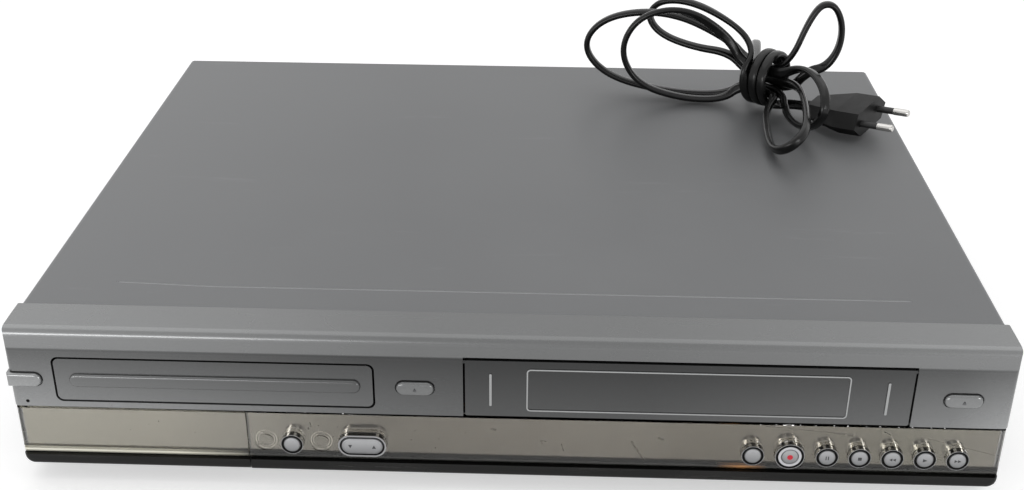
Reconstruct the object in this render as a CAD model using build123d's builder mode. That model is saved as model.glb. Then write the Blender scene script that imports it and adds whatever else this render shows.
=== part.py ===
"""DVD recorder and VHS deck in one low cabinet, with its mains lead tied in a hank on top.

Millimetres. X points to the viewer's right, Y to the back and Z up. The origin lies on the floor,
under the middle of the cabinet.
"""

import os
from math import atan2, cos, degrees, pi, radians, sin, tan

from build123d import *

os.makedirs("parts", exist_ok=True)

# ------------------------------------------------------------------ driving dimensions
# cabinet
width = 430.0  # front moulding, side to side
depth = 344.0  # front face to the back edge of the cover
height = 78.5  # floor to the top of the front moulding
foot_height = 8.0
sheet = 1.0  # steel sheet
wall = 2.5  # moulded wall
bezel_depth = 21.8  # front face to the joint with the cover
cover_inset = 1.0  # the cover stands in from the front moulding's sides
cover_drop = 0.5  # and lies this much lower
bend = 3.0  # outer bend radius of the cover

# clearances
seat = 0.1  # between fixed pieces that rest on each other
fit = 0.3  # between pieces that are put in by hand
run = 0.06  # radial, a shaft in its bearing
gap = 0.5  # between neighbouring trim pieces
line = 0.9  # the dark line round the door and above the lower panel

# front face
split_z = foot_height + 31.5  # lower edge of the upper face
panel_step = 3.6  # the lower panel's pieces stand on a wall this far back
band_depth = 0.9  # the band under the crown lies back by this much
band_low = height - 10.1
crown_fall = 1.0
nose_radius = 4.2
split_x = -width / 2 + 101.5  # joint between the flap and the fixed lower panel
window_low = foot_height + 6.0
window_thickness = 3.0
strip_corner = 4.5  # rounded lower corners of the front
mirror_thickness = 0.4

# disc tray
tray_margin = 20.3  # left side of the cabinet to the tray front
tray_front_size = (137.2, 20.5)
tray_front_z = 53.45
tray_front_thickness = 4.8
tray_width = 128.0
tray_travel = 150.0
disc_radius = 60.3  # recess for a 120 mm disc
small_disc_radius = 40.3
bar_height = 6.4

# cassette door and deck
door_margin = 43.0  # right side of the cabinet to the door
door_size = (189.8, 27.6)
door_z = 53.8
door_thickness = 2.6
door_pin_radius = 0.9
cassette_size = (187.4, 102.6, 24.6)
carriage_drop = 17.0
drum_radius = 31.0
drum_tilt = 5.96
reel_spacing = 92.0

# buttons
press = 0.7
key_size = (16.4, 6.6)
key_proud = 1.8
key_z = 53.3
open_key_x = -39.3
collar_radius = 4.9
collar_bore = 3.85
collar_proud = 2.8
cap_radius = collar_bore - fit
cap_proud = 3.2
cap_z = 24.3
record_radius = 6.35
record_bore = 5.1
rocker_size = (18.0, 7.7)
rocker_wall = 1.2
rocker_gap = 0.4

# sheet-metal fasteners
screw_radius = 1.5
screw_head = 3.8

# ------------------------------------------------------------------ places worked out from them
left, right = -width / 2, width / 2
front_y, back_y = -depth / 2, depth / 2
joint_y = front_y + bezel_depth
recess_y = front_y + panel_step
panel_top = split_z - line
cover_top = height - cover_drop
cover_half = width / 2 - cover_inset
base_z = foot_height + 0.5
base_top = base_z + sheet
panel_out_y = back_y - sheet - seat  # outer face of the rear panel
base_half = cover_half - sheet - fit
base_front = joint_y + fit
base_back = panel_out_y - sheet - seat
tray_x = left + tray_margin + tray_front_size[0] / 2
door_x = right - door_margin - door_size[0] / 2
wall_back = recess_y + wall  # inner face of the lower wall


def facing(y):
    """Upright plane at depth y: sketch x is X, sketch y is Z, and it extrudes towards the viewer."""
    return Plane.XZ.offset(-y)


def block(x, y, z, mode=Mode.ADD):
    """Box between the low and high values given for each axis."""
    with Locations(((x[0] + x[1]) / 2, (y[0] + y[1]) / 2, (z[0] + z[1]) / 2)):
        Box(x[1] - x[0], y[1] - y[0], z[1] - z[0], mode=mode)


def rod(centre, radius, length, axis, mode=Mode.ADD):
    """Cylinder centred on a point, along X, Y or Z."""
    turn = {"X": (0, 90, 0), "Y": (90, 0, 0), "Z": (0, 0, 0)}[axis]
    with Locations(Location(centre, turn)):
        Cylinder(radius, length, mode=mode)


# ------------------------------------------------------------------ chassis
# The bottom tray is folded sheet with a low flange all round, pressed posts for the two decks and
# the boards, and rows of vents under the power board.
flange_height = 14.0
low_flange = 5.0  # along the front and the back
deck_base_z = 18.0
drive_floor_z = 24.0
board_z = 15.0
vent_size = (3.0, 26.0)

drive_half = tray_width / 2 + 9.0
drive_front = joint_y + 2.0
drive_back = drive_front + 192.5
drive_posts = [
    (tray_x + side * (drive_half - 8), y) for side in (-1, 1) for y in (drive_front + 12, drive_back - 10)
]

deck_half = cassette_size[0] / 2 + 6.4
deck_front = joint_y + 4.0
deck_back = deck_front + 208.0
deck_posts = [
    (door_x + side * (deck_half - 10), y) for side in (-1, 1) for y in (deck_front + 10, deck_back - 10)
]

power_size = (140.0, 78.0)
power_centre = (right - 12 - power_size[0] / 2, back_y - 20 - power_size[1] / 2)
main_size = (205.0, 84.0)
main_centre = (left + 52 + main_size[0] / 2, back_y - 20 - main_size[1] / 2)
board_posts = [
    (centre[0] + sx * (size[0] / 2 - 6), centre[1] + sy * (size[1] / 2 - 6))
    for centre, size in ((power_centre, power_size), (main_centre, main_size))
    for sx in (-1, 1)
    for sy in (-1, 1)
]
foot_places = [(sx * (width / 2 - 55), y) for sx in (-1, 1) for y in (front_y + 55, back_y - 45)]
side_screw_places = [joint_y + 60, back_y - 40]
side_screw_z = base_z + 8.5

with BuildPart() as chassis_base:
    middle_y = (base_front + base_back) / 2
    with BuildSketch(Plane.XY.offset(base_z)):
        with Locations((0, middle_y)):
            Rectangle(2 * base_half, base_back - base_front)
    extrude(amount=flange_height)
    with BuildSketch(Plane.XY.offset(base_top)):
        with Locations((0, middle_y)):
            Rectangle(2 * (base_half - sheet), base_back - base_front - 2 * sheet)
    extrude(amount=flange_height, mode=Mode.SUBTRACT)
    inside = (-base_half + sheet, base_half - sheet)
    for y in (base_front, base_back):
        block(inside, (y - 2, y + 2), (base_z + low_flange, base_z + flange_height), Mode.SUBTRACT)
    for places, radius, top in (
        (drive_posts, 4.0, drive_floor_z - seat),
        (deck_posts, 4.0, deck_base_z - seat),
        (board_posts, 3.0, board_z - seat),
    ):
        with BuildSketch(Plane.XY.offset(base_top)):
            with Locations(*places):
                Circle(radius)
        extrude(amount=top - base_top)
    with BuildSketch(Plane.XY.offset(base_z)):
        with Locations(power_centre):
            with GridLocations(10.0, 32.0, 8, 2):
                Rectangle(*vent_size)
    extrude(amount=sheet, mode=Mode.SUBTRACT)
    for place in side_screw_places:
        rod((0, place, side_screw_z), screw_radius + 0.2, 2 * base_half + 2, "X", Mode.SUBTRACT)
chassis_base.part.label = "chassis_base"
export_step(chassis_base.part, "parts/chassis_base.step")

# Four moulded feet, each with a rubber pad let into it.
foot_radius = 15.0
pad_radius = 11.0
pad_recess = 0.8

with BuildPart() as feet:
    for place in foot_places:
        with BuildSketch(Plane.XY.offset(1.0)):
            with Locations(place):
                Circle(foot_radius - 1.5)
        extrude(amount=base_z - seat - 1.0, taper=-10)
        with BuildSketch(Plane.XY.offset(1.0)):
            with Locations(place):
                Circle(pad_radius + seat)
        extrude(amount=pad_recess, mode=Mode.SUBTRACT)
        with BuildSketch():
            with Locations(place):
                Circle(pad_radius)
        extrude(amount=1.0 + pad_recess - seat)
feet.part.label = "feet"
export_step(feet.part, "parts/feet.step")

# ------------------------------------------------------------------ top cover
# One folded sheet: top, two sides and a short flange down the back, with vents in both sides and a
# shallow pressed line across the top near the front.
cover_front = joint_y + fit
cover_low = base_z + 0.5
rear_flange = 10.0
side_vent_count = 12
side_vent_pitch = 7.0
side_vent_size = (2.6, 26.0)
press_line_y = front_y + 42.5
press_line_half = 177.0
press_line_bend = 44.0  # from the left end to where the line turns straight
press_line_rise = 2.6
press_line_width = 1.2
press_line_depth = 0.35
rear_screw_x = (-width / 2 + 20, 0.0, width / 2 - 20)
rear_screw_z = cover_top - 6.0

with BuildPart() as top_cover:
    with BuildSketch(facing(cover_front)):
        with Locations((0, (cover_top + cover_low) / 2)):
            outer = Rectangle(2 * cover_half, cover_top - cover_low)
        fillet(outer.vertices().group_by(Axis.Y)[-1], bend)
        with Locations((0, cover_top - sheet)):
            RectangleRounded(
                2 * (cover_half - sheet),
                2 * height,
                bend - sheet,
                align=(Align.CENTER, Align.MAX),
                mode=Mode.SUBTRACT,
            )
    extrude(amount=-(back_y - cover_front))
    block(
        (-cover_half + sheet + fit, cover_half - sheet - fit),
        (back_y - sheet, back_y),
        (cover_top - sheet - rear_flange, cover_top - sheet / 2),
    )
    with BuildSketch(Plane.YZ.offset(-cover_half)):
        with Locations((back_y - 75, (cover_top + base_z) / 2)):
            with GridLocations(side_vent_pitch, 1.0, side_vent_count, 1):
                Rectangle(*side_vent_size)
    extrude(amount=2 * cover_half, mode=Mode.SUBTRACT)
    with BuildSketch(Plane.XY.offset(cover_top)):
        with BuildLine():
            Polyline(
                (-press_line_half, press_line_y + press_line_rise),
                (-press_line_half + press_line_bend, press_line_y),
                (press_line_half, press_line_y),
                (press_line_half, press_line_y - press_line_width),
                (-press_line_half + press_line_bend, press_line_y - press_line_width),
                (-press_line_half, press_line_y + press_line_rise - press_line_width),
                close=True,
            )
        make_face()
    extrude(amount=-press_line_depth, mode=Mode.SUBTRACT)
    for place in side_screw_places:
        rod((0, place, side_screw_z), screw_radius + 0.3, 2 * cover_half + 2, "X", Mode.SUBTRACT)
    for x in rear_screw_x:
        rod((x, back_y, rear_screw_z), screw_radius + 0.3, 4 * sheet, "Y", Mode.SUBTRACT)
top_cover.part.label = "top_cover"
export_step(top_cover.part, "parts/top_cover.step")

# ------------------------------------------------------------------ front moulding
# One moulding carries the whole front: a crown that meets the cover, a band under it, the upper
# face with the openings for tray, door and keys, and a wall set back for the lower panel.
end_radius = 2.5
top_radius = 1.2
flap_hinge_y = recess_y + 2.1
flap_hinge_z = foot_height + 2.4
flap_pin_radius = 1.2
flap_knuckle = 2.1
flap_clear_y = flap_hinge_y + flap_knuckle + 0.4
flap_boss = 1.85
flap_swing = 3.5  # reach of the strip's rear corner about the pin, with play
door_hinge_y = front_y + door_thickness / 2
door_hinge_z = door_z + door_size[1] / 2 - door_thickness / 2
ear_depth = 5.0
ear_width = 2.5
tongue = (7.0, 1.6)
standby_right = left + 14.4
eject_key_x = right - 21.4
key_gap = 0.45
front_board_y = wall_back + 5.9
stem_radius = 1.8
stem_clear = 0.4
round_caps = {
    "source_button": right - 108.0,
    "pause_button": right - 76.0,
    "stop_button": right - 62.0,
    "rewind_button": right - 48.0,
    "play_button": right - 34.0,
    "fast_forward_button": right - 20.0,
    "dubbing_button": left + 121.3,
}
record_x = right - 92.0
rocker_x = left + 152.1
lamp_x = (left + 109.2, left + 133.6)
display_x = (-45.0, 70.0)
display_z = (18.0, 36.0)
board_post_x = (split_x + 9.0, display_x[0] - 6, display_x[1] + 8, right - 85.0, right - 8.5)
board_post_z = 15.5
led_x, led_z = left + 6.5, 42.0

with BuildPart() as front_bezel:
    with BuildSketch(Plane.YZ.offset(left)) as section:
        with BuildLine():
            Polyline(
                (joint_y, height),
                (front_y + band_depth, height - crown_fall),
                (front_y + band_depth, band_low),
                (front_y, band_low - band_depth),
                (front_y, split_z),
                (recess_y, split_z),
                (recess_y, foot_height),
                (joint_y, foot_height),
                close=True,
            )
        make_face()
        nose = section.vertices().sort_by_distance((front_y + band_depth, height - crown_fall))[0]
        fillet(nose, nose_radius)
    extrude(amount=width)
    # the ends are rounded in plan at the front, and seen from the front at the top and the bottom
    with BuildSketch() as plan:
        with Locations((0, (front_y + joint_y) / 2)):
            outline = Rectangle(width, bezel_depth)
        fillet(outline.vertices().group_by(Axis.Y)[0], end_radius)
    extrude(amount=height, mode=Mode.INTERSECT)
    with BuildSketch(facing(joint_y)):
        with Locations((0, (height + foot_height) / 2)):
            outline = Rectangle(width, height - foot_height)
        fillet(outline.vertices().group_by(Axis.Y)[-1], top_radius)
        fillet(outline.vertices().group_by(Axis.Y)[0], strip_corner)
    extrude(amount=bezel_depth, mode=Mode.INTERSECT)
    with BuildSketch(Plane.YZ.offset(left + wall)):
        with BuildLine():
            Polyline(
                (joint_y + 1, height - wall),
                (front_y + band_depth + wall, height - crown_fall - wall),
                (front_y + band_depth + wall, band_low),
                (front_y + wall, band_low - band_depth),
                (front_y + wall, split_z + wall),
                (wall_back, split_z + wall),
                (wall_back, foot_height + wall),
                (joint_y + 1, foot_height + wall),
                close=True,
            )
        make_face()
    extrude(amount=width - 2 * wall, mode=Mode.SUBTRACT)
    # rib between the flap's bay and the fixed panel, and ears for the door's pins
    block((split_x, split_x + wall), (recess_y, front_board_y), (foot_height, split_z + 1))
    for side in (-1, 1):
        inner_x = door_x + side * (door_size[0] / 2 + line)
        ear_x = sorted((inner_x, inner_x + side * ear_width))
        block(ear_x, (front_y + 1, front_y + ear_depth), (door_hinge_z - 5, door_hinge_z + 4))
    # posts that carry the front board, and the tongue that goes in under the cover
    with BuildSketch(facing(wall_back - 0.5)):
        with Locations(*[(x, board_post_z) for x in board_post_x]):
            Circle(2.8)
    extrude(amount=-(front_board_y - seat - wall_back + 0.5))
    with BuildSketch(facing(front_y + wall - 0.5)):
        with Locations((led_x, key_z - 9.0), (eject_key_x, key_z - 9.0), (open_key_x, key_z - 9.0)):
            Circle(1.8)
    extrude(amount=-(front_board_y - seat - front_y - wall + 0.5))
    block(
        (left + 15, right - 15),
        (joint_y - 2, joint_y + tongue[0]),
        (cover_top - sheet - seat - tongue[1], cover_top - sheet - seat),
    )
    # openings of the upper face
    with BuildSketch(facing(front_y - 5)):
        with Locations((tray_x, tray_front_z)):
            RectangleRounded(tray_front_size[0] + 2 * line, tray_front_size[1] + 2 * line, 3.2)
        with Locations((open_key_x, key_z), (eject_key_x, key_z)):
            SlotOverall(key_size[0] + 2 * key_gap, key_size[1] + 2 * key_gap)
        with Locations((standby_right - key_size[1] / 2, key_z)):
            Circle(key_size[1] / 2 + key_gap)
    extrude(amount=-(bezel_depth + 3), mode=Mode.SUBTRACT)
    door_low = split_z - 0.6
    door_high = door_z + door_size[1] / 2 + line - 0.1
    block(
        (door_x - door_size[0] / 2 - line, door_x + door_size[0] / 2 + line),
        (front_y - 1, joint_y + 1),
        (door_low, door_high),
        Mode.SUBTRACT,
    )
    block(
        (left - 1, standby_right - key_size[1] / 2),
        (front_y - 1, front_y + 5.5),
        (key_z - key_size[1] / 2 - key_gap, key_z + key_size[1] / 2 + key_gap),
        Mode.SUBTRACT,
    )
    pin_bore_length = door_size[0] + 2 * line + 4.6
    rod((door_x, door_hinge_y, door_hinge_z), door_pin_radius + run, pin_bore_length, "X", Mode.SUBTRACT)
    # openings of the lower wall: stems, display, standby lamp and the flap's bay
    with BuildSketch(facing(recess_y - 1)):
        with Locations(*[(x, cap_z) for x in round_caps.values()], (record_x, cap_z)):
            Circle(stem_radius + stem_clear)
        with Locations((rocker_x, cap_z)):
            with GridLocations(11.0, 1.0, 2, 1):
                Circle(stem_radius + stem_clear)
        with Locations(((display_x[0] + display_x[1]) / 2, (display_z[0] + display_z[1]) / 2)):
            Rectangle(display_x[1] - display_x[0], display_z[1] - display_z[0])
    extrude(amount=-(wall + 2), mode=Mode.SUBTRACT)
    rod((led_x, front_y, led_z), 0.8, 8.0, "Y", Mode.SUBTRACT)
    block(
        (left + wall, split_x),
        (recess_y - 1, flap_clear_y),
        (foot_height - 1, split_z - 0.6),
        Mode.SUBTRACT,
    )
    # the strip's end swings past a round boss, the only part of the side wall left below the pin
    block(
        (left - 1, left + wall + 0.1),
        (recess_y - 1, flap_hinge_y + flap_swing),
        (foot_height - 1, flap_hinge_z),
        Mode.SUBTRACT,
    )
    rod((left + wall / 2 + 0.4, flap_hinge_y, flap_hinge_z), flap_boss, wall - 0.8, "X")
    for x in (left + wall, split_x):
        rod((x, flap_hinge_y, flap_hinge_z), flap_pin_radius + run, 4.0, "X", Mode.SUBTRACT)
front_bezel.part.label = "front_bezel"
export_step(front_bezel.part, "parts/front_bezel.step")

# ------------------------------------------------------------------ lower panel
# A clear acrylic window stands in front of a mirrored champagne sheet, over a dark rounded strip.
window_right = right - 0.6
bevel = 2.4

with BuildPart() as lower_window:
    with BuildSketch(facing(front_y)):
        x0, x1 = split_x + gap / 2, window_right
        with Locations(((x0 + x1) / 2, (window_low + panel_top) / 2)):
            Rectangle(x1 - x0, panel_top - window_low)
        with Locations(*[(x, cap_z) for x in round_caps.values()]):
            Circle(collar_radius + 0.15, mode=Mode.SUBTRACT)
        with Locations((record_x, cap_z)):
            Circle(record_radius + 0.15, mode=Mode.SUBTRACT)
        with Locations((rocker_x, cap_z)):
            SlotOverall(
                rocker_size[0] + 2 * (rocker_gap + rocker_wall + 0.15),
                rocker_size[1] + 2 * (rocker_gap + rocker_wall + 0.15),
                mode=Mode.SUBTRACT,
            )
    extrude(amount=-window_thickness)
    low_edge = lower_window.edges().filter_by(Axis.X).group_by(Axis.Z)[0].sort_by(Axis.Y)[0]
    chamfer(low_edge, bevel)
    corner = lower_window.edges().filter_by(Axis.Z).group_by(Axis.X)[-1].sort_by(Axis.Y)[0]
    fillet(corner, 1.6)
    with BuildSketch(facing(front_y)):
        with Locations(*[(x, cap_z - 0.5) for x in lamp_x]):
            Circle(4.7)
            Circle(3.6, mode=Mode.SUBTRACT)
    extrude(amount=-0.4, mode=Mode.SUBTRACT)
lower_window.part.label = "lower_window"
export_step(lower_window.part, "parts/lower_window.step")

mirror_y = front_y + window_thickness + 0.05
mirror_low = window_low + bevel + 0.8

with BuildPart() as window_backing:
    with BuildSketch(facing(mirror_y)):
        x0, x1 = split_x + gap, window_right - 2.0
        with Locations(((x0 + x1) / 2, (mirror_low + panel_top - 0.4) / 2)):
            Rectangle(x1 - x0, panel_top - 0.4 - mirror_low)
        with Locations(*[(x, cap_z) for x in round_caps.values()]):
            Circle(collar_radius + 0.15, mode=Mode.SUBTRACT)
        with Locations((record_x, cap_z)):
            Circle(record_radius + 0.15, mode=Mode.SUBTRACT)
        with Locations((rocker_x, cap_z)):
            SlotOverall(
                rocker_size[0] + 2 * (rocker_gap + rocker_wall + 0.15),
                rocker_size[1] + 2 * (rocker_gap + rocker_wall + 0.15),
                mode=Mode.SUBTRACT,
            )
    extrude(amount=-mirror_thickness)
window_backing.part.label = "window_backing"
export_step(window_backing.part, "parts/window_backing.step")

with BuildPart() as lower_trim:
    with BuildSketch(facing(front_y + 0.3)) as strip:
        x0, x1 = split_x + gap / 2, right
        with Locations(((x0 + x1) / 2, (foot_height + window_low - fit) / 2)):
            Rectangle(x1 - x0, window_low - fit - foot_height)
        fillet(strip.vertices().sort_by_distance((x1, foot_height))[0], strip_corner)
    extrude(amount=-(panel_step - seat - 0.3))
    front_low = lower_trim.faces().sort_by(Axis.Y)[0].edges().group_by(Axis.Z)[0]
    fillet(front_low, 2.0)
lower_trim.part.label = "lower_trim"
export_step(lower_trim.part, "parts/lower_trim.step")

# ------------------------------------------------------------------ flap over the front sockets
# The left end of the lower panel folds down on two pins. It has its own window, mirror and strip.
flap_right = split_x - gap / 2
flap_low = foot_height + fit

with BuildPart() as flap_frame:
    with BuildSketch(facing(front_y + 0.3)) as strip:
        with Locations(((left + flap_right) / 2, (flap_low + window_low - fit) / 2)):
            Rectangle(flap_right - left, window_low - fit - flap_low)
        fillet(strip.vertices().sort_by_distance((left, flap_low))[0], strip_corner)
    extrude(amount=-(panel_step - seat - 0.3))
    front_low = flap_frame.faces().sort_by(Axis.Y)[0].edges().group_by(Axis.Z)[0]
    fillet(front_low, 2.0)
    plate_left, plate_right = left + wall + fit, flap_right
    block((plate_left, plate_right), (recess_y - 0.2, recess_y + 1.7), (flap_low, panel_top - 0.2))
    for x in (plate_left + 5, plate_right - 5):
        rod((x, flap_hinge_y, flap_hinge_z), flap_knuckle, 10.0, "X")
    for x, side in ((plate_left, -1), (plate_right, 1)):
        rod((x + side * 0.6, flap_hinge_y, flap_hinge_z), flap_pin_radius, 2.4, "X")
flap_frame.part.label = "flap_frame"
export_step(flap_frame.part, "parts/flap_frame.step")

with BuildPart() as flap_window:
    with BuildSketch(facing(front_y)):
        x0, x1 = left + 0.6, flap_right
        with Locations(((x0 + x1) / 2, (window_low + panel_top - 0.2) / 2)):
            Rectangle(x1 - x0, panel_top - 0.2 - window_low)
    extrude(amount=-window_thickness)
    low_edge = flap_window.edges().filter_by(Axis.X).group_by(Axis.Z)[0].sort_by(Axis.Y)[0]
    chamfer(low_edge, bevel)
    corner = flap_window.edges().filter_by(Axis.Z).group_by(Axis.X)[0].sort_by(Axis.Y)[0]
    fillet(corner, 1.6)
flap_window.part.label = "flap_window"
export_step(flap_window.part, "parts/flap_window.step")

with BuildPart() as flap_backing:
    block(
        (left + 2.6, flap_right - gap / 2),
        (mirror_y, mirror_y + mirror_thickness - 0.1),
        (mirror_low, panel_top - 0.6),
    )
flap_backing.part.label = "flap_backing"
export_step(flap_backing.part, "parts/flap_backing.step")

# Behind the flap a plate holds three phono sockets, a round video socket and a digital one.
av_plate_y = front_y + 14.0
phono_x = [left + 16.0 + 14.5 * index for index in range(3)]
video_x = left + 64.0
digital_x = left + 84.0
av_z = 24.0
phono_barrel = 4.15
phono_bore = 1.7
video_radius = 6.0

with BuildPart() as av_panel:
    block(
        (left + wall + fit, split_x - fit),
        (av_plate_y, av_plate_y + 2),
        (foot_height + wall + fit, split_z + 1.5),
    )
    for x in phono_x:
        rod((x, av_plate_y, av_z), phono_barrel + fit, 8.0, "Y", Mode.SUBTRACT)
    rod((video_x, av_plate_y, av_z), video_radius + fit, 8.0, "Y", Mode.SUBTRACT)
    block(
        (digital_x - 5 - fit, digital_x + 5 + fit),
        (av_plate_y - 1, av_plate_y + 3),
        (av_z - 3 - fit, av_z + 3 + fit),
        Mode.SUBTRACT,
    )
av_panel.part.label = "av_panel"
export_step(av_panel.part, "parts/av_panel.step")

with BuildPart() as av_sockets:
    body_y = (av_plate_y + 2 + seat, av_plate_y + 8)
    for x in phono_x:
        block((x - 5, x + 5), body_y, (av_z - 8, av_z + 6))
        rod((x, av_plate_y - 2.0, av_z), phono_barrel, 9.0, "Y")
        rod((x, av_plate_y - 3.0, av_z), phono_bore, 9.0, "Y", Mode.SUBTRACT)
    block((video_x - 7, video_x + 7), body_y, (av_z - 8, av_z + 7))
    rod((video_x, av_plate_y + 1.0, av_z), video_radius, 3.0, "Y")
    rod((video_x, av_plate_y - 1.0, av_z), video_radius - 1.4, 5.0, "Y", Mode.SUBTRACT)
    block((digital_x - 7, digital_x + 7), body_y, (av_z - 8, av_z + 5))
    block((digital_x - 5, digital_x + 5), (av_plate_y - 0.8, body_y[0] + 1), (av_z - 3, av_z + 3))
    block(
        (digital_x - 3.4, digital_x + 3.4),
        (av_plate_y - 1, av_plate_y + 3),
        (av_z - 1.6, av_z + 1.6),
        Mode.SUBTRACT,
    )
    block(
        (phono_x[0] - 8, digital_x + 9),
        (body_y[1] - 0.1, body_y[1] + 1.5),
        (base_z + low_flange + fit, av_z + 11),
    )
av_sockets.part.label = "av_sockets"
export_step(av_sockets.part, "parts/av_sockets.step")

# ------------------------------------------------------------------ keys and their collars
# Chromed collars stand out of the window round the lower keys. The record key's collar is wider
# and holds a second, white ring. The channel key is a rocker on a short upright pin.
collar_back = recess_y - seat
collar_front = front_y - collar_proud

with BuildPart() as button_rings:
    with BuildSketch(facing(collar_back)):
        with Locations(*[(x, cap_z) for x in round_caps.values()]):
            Circle(collar_radius)
            Circle(collar_bore, mode=Mode.SUBTRACT)
        with Locations((record_x, cap_z)):
            Circle(record_radius)
            Circle(record_bore, mode=Mode.SUBTRACT)
            Circle(record_bore - seat)
            Circle(collar_bore, mode=Mode.SUBTRACT)
        with Locations((rocker_x, cap_z)):
            SlotOverall(
                rocker_size[0] + 2 * (rocker_gap + rocker_wall),
                rocker_size[1] + 2 * (rocker_gap + rocker_wall),
            )
            SlotOverall(
                rocker_size[0] + 2 * rocker_gap,
                rocker_size[1] + 2 * rocker_gap,
                mode=Mode.SUBTRACT,
            )
    extrude(amount=collar_back - collar_front)
    rocker_pin_y = front_y + 1.6
    rocker_pin = 0.8
    rocker_opening = rocker_size[1] + 2 * rocker_gap
    rod((rocker_x, rocker_pin_y, cap_z), rocker_pin + run, rocker_opening + 1.4, "Z", Mode.SUBTRACT)
button_rings.part.label = "button_rings"
export_step(button_rings.part, "parts/button_rings.step")

cap_front = front_y - cap_proud
cap_back = recess_y - press - fit
clip_y = (wall_back + 0.2, wall_back + 1.0)
switch_y = clip_y[1] + press + 0.1

for name, x in {**round_caps, "record_button": record_x}.items():
    with BuildPart() as cap:
        with BuildSketch(facing(cap_back)):
            with Locations((x, cap_z)):
                Circle(cap_radius)
        extrude(amount=cap_back - cap_front)
        fillet(cap.edges().sort_by(Axis.Y)[0], 0.5)
        rod((x, (cap_back + clip_y[1]) / 2, cap_z), stem_radius, clip_y[1] - cap_back, "Y")
        rod((x, (clip_y[0] + clip_y[1]) / 2, cap_z), stem_radius + 1.0, clip_y[1] - clip_y[0], "Y")
    cap.part.label = name
    export_step(cap.part, f"parts/{name}.step")

with BuildPart() as channel_rocker:
    with BuildSketch(facing(cap_back)):
        with Locations((rocker_x, cap_z)):
            SlotOverall(*rocker_size)
    extrude(amount=cap_back - cap_front)
    fillet(channel_rocker.faces().sort_by(Axis.Y)[0].edges(), 0.5)
    with BuildSketch(facing(clip_y[1])):
        with Locations((rocker_x, cap_z)):
            with GridLocations(11.0, 1.0, 2, 1):
                Circle(stem_radius - 0.4)
    extrude(amount=clip_y[1] - cap_back)
    rod((rocker_x, rocker_pin_y, cap_z), rocker_pin, rocker_opening + 0.8, "Z")
channel_rocker.part.label = "channel_rocker"
export_step(channel_rocker.part, "parts/channel_rocker.step")

key_front = front_y - key_proud
key_back = front_y + wall + 1.6
for name, x in {"open_close_button": open_key_x, "eject_button": eject_key_x}.items():
    with BuildPart() as key:
        with BuildSketch(facing(key_back)):
            with Locations((x, key_z)):
                SlotOverall(*key_size)
        extrude(amount=key_back - key_front)
        fillet(key.faces().sort_by(Axis.Y)[0].edges(), 1.5)
        with BuildSketch(facing(key_back)):
            with Locations((x, key_z)):
                SlotOverall(key_size[0] + 2.4, key_size[1] + 2.4)
        extrude(amount=key_back - front_y - wall - 0.2)
        rod((x, (key_back + clip_y[1]) / 2, key_z), stem_radius, clip_y[1] - key_back, "Y")
    key.part.label = name
    export_step(key.part, f"parts/{name}.step")

# The standby key runs out through the side of the moulding.
with BuildPart() as standby_button:
    with BuildSketch(facing(key_back)) as outline:
        with Locations((standby_right - key_size[1] / 2, key_z)):
            Circle(key_size[1] / 2)
        with Locations(((left - 0.5 + standby_right - key_size[1] / 2) / 2, key_z)):
            Rectangle(standby_right - key_size[1] / 2 - left + 0.5, key_size[1])
    extrude(amount=key_back - key_front)
    fillet(standby_button.faces().sort_by(Axis.Y)[0].edges(), 1.4)
    block(
        (left + wall + fit, standby_right + 1.0),
        (front_y + wall + 0.2, key_back),
        (key_z - key_size[1] / 2 - 1.2, key_z + key_size[1] / 2 + 1.2),
    )
    rod((led_x, (key_back + clip_y[1]) / 2, key_z), stem_radius, clip_y[1] - key_back, "Y")
standby_button.part.label = "standby_button"
export_step(standby_button.part, "parts/standby_button.step")

# ------------------------------------------------------------------ front board
# One board behind the lower panel with a tab up to the open key, two small boards for the standby
# and eject keys, a switch behind every key, and the display behind the mirror.
board_thickness = 1.6
front_board_z = (foot_height + wall + 1.0, panel_top - 1.0)
switch_places = [(x, cap_z) for x in round_caps.values()] + [(record_x, cap_z)]
switch_places += [(rocker_x + side * 5.5, cap_z) for side in (-1, 1)]
switch_places += [(open_key_x, key_z), (eject_key_x, key_z), (led_x, key_z)]

with BuildPart() as front_board:
    y = (front_board_y, front_board_y + board_thickness)
    block((split_x + wall + fit, right - wall - fit), y, front_board_z)
    block((open_key_x - 11, open_key_x + 11), y, (front_board_z[1] - 1, key_z + 7))
    block((eject_key_x - 10, eject_key_x + 10), y, (key_z - 12, key_z + 7))
    block((left + wall + fit, left + 15.5), y, (key_z - 12, key_z + 7))
    with BuildSketch(facing(front_board_y)):
        with Locations(*switch_places):
            Rectangle(6.0, 6.0)
    extrude(amount=front_board_y - switch_y - 0.6)
    with BuildSketch(facing(front_board_y)):
        with Locations(*switch_places):
            Circle(1.7)
    extrude(amount=front_board_y - switch_y)
    block(
        (display_x[0] + fit, display_x[1] - fit),
        (recess_y + fit, front_board_y),
        (display_z[0] + fit, display_z[1] - fit),
    )
front_board.part.label = "front_board"
export_step(front_board.part, "parts/front_board.step")

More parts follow.
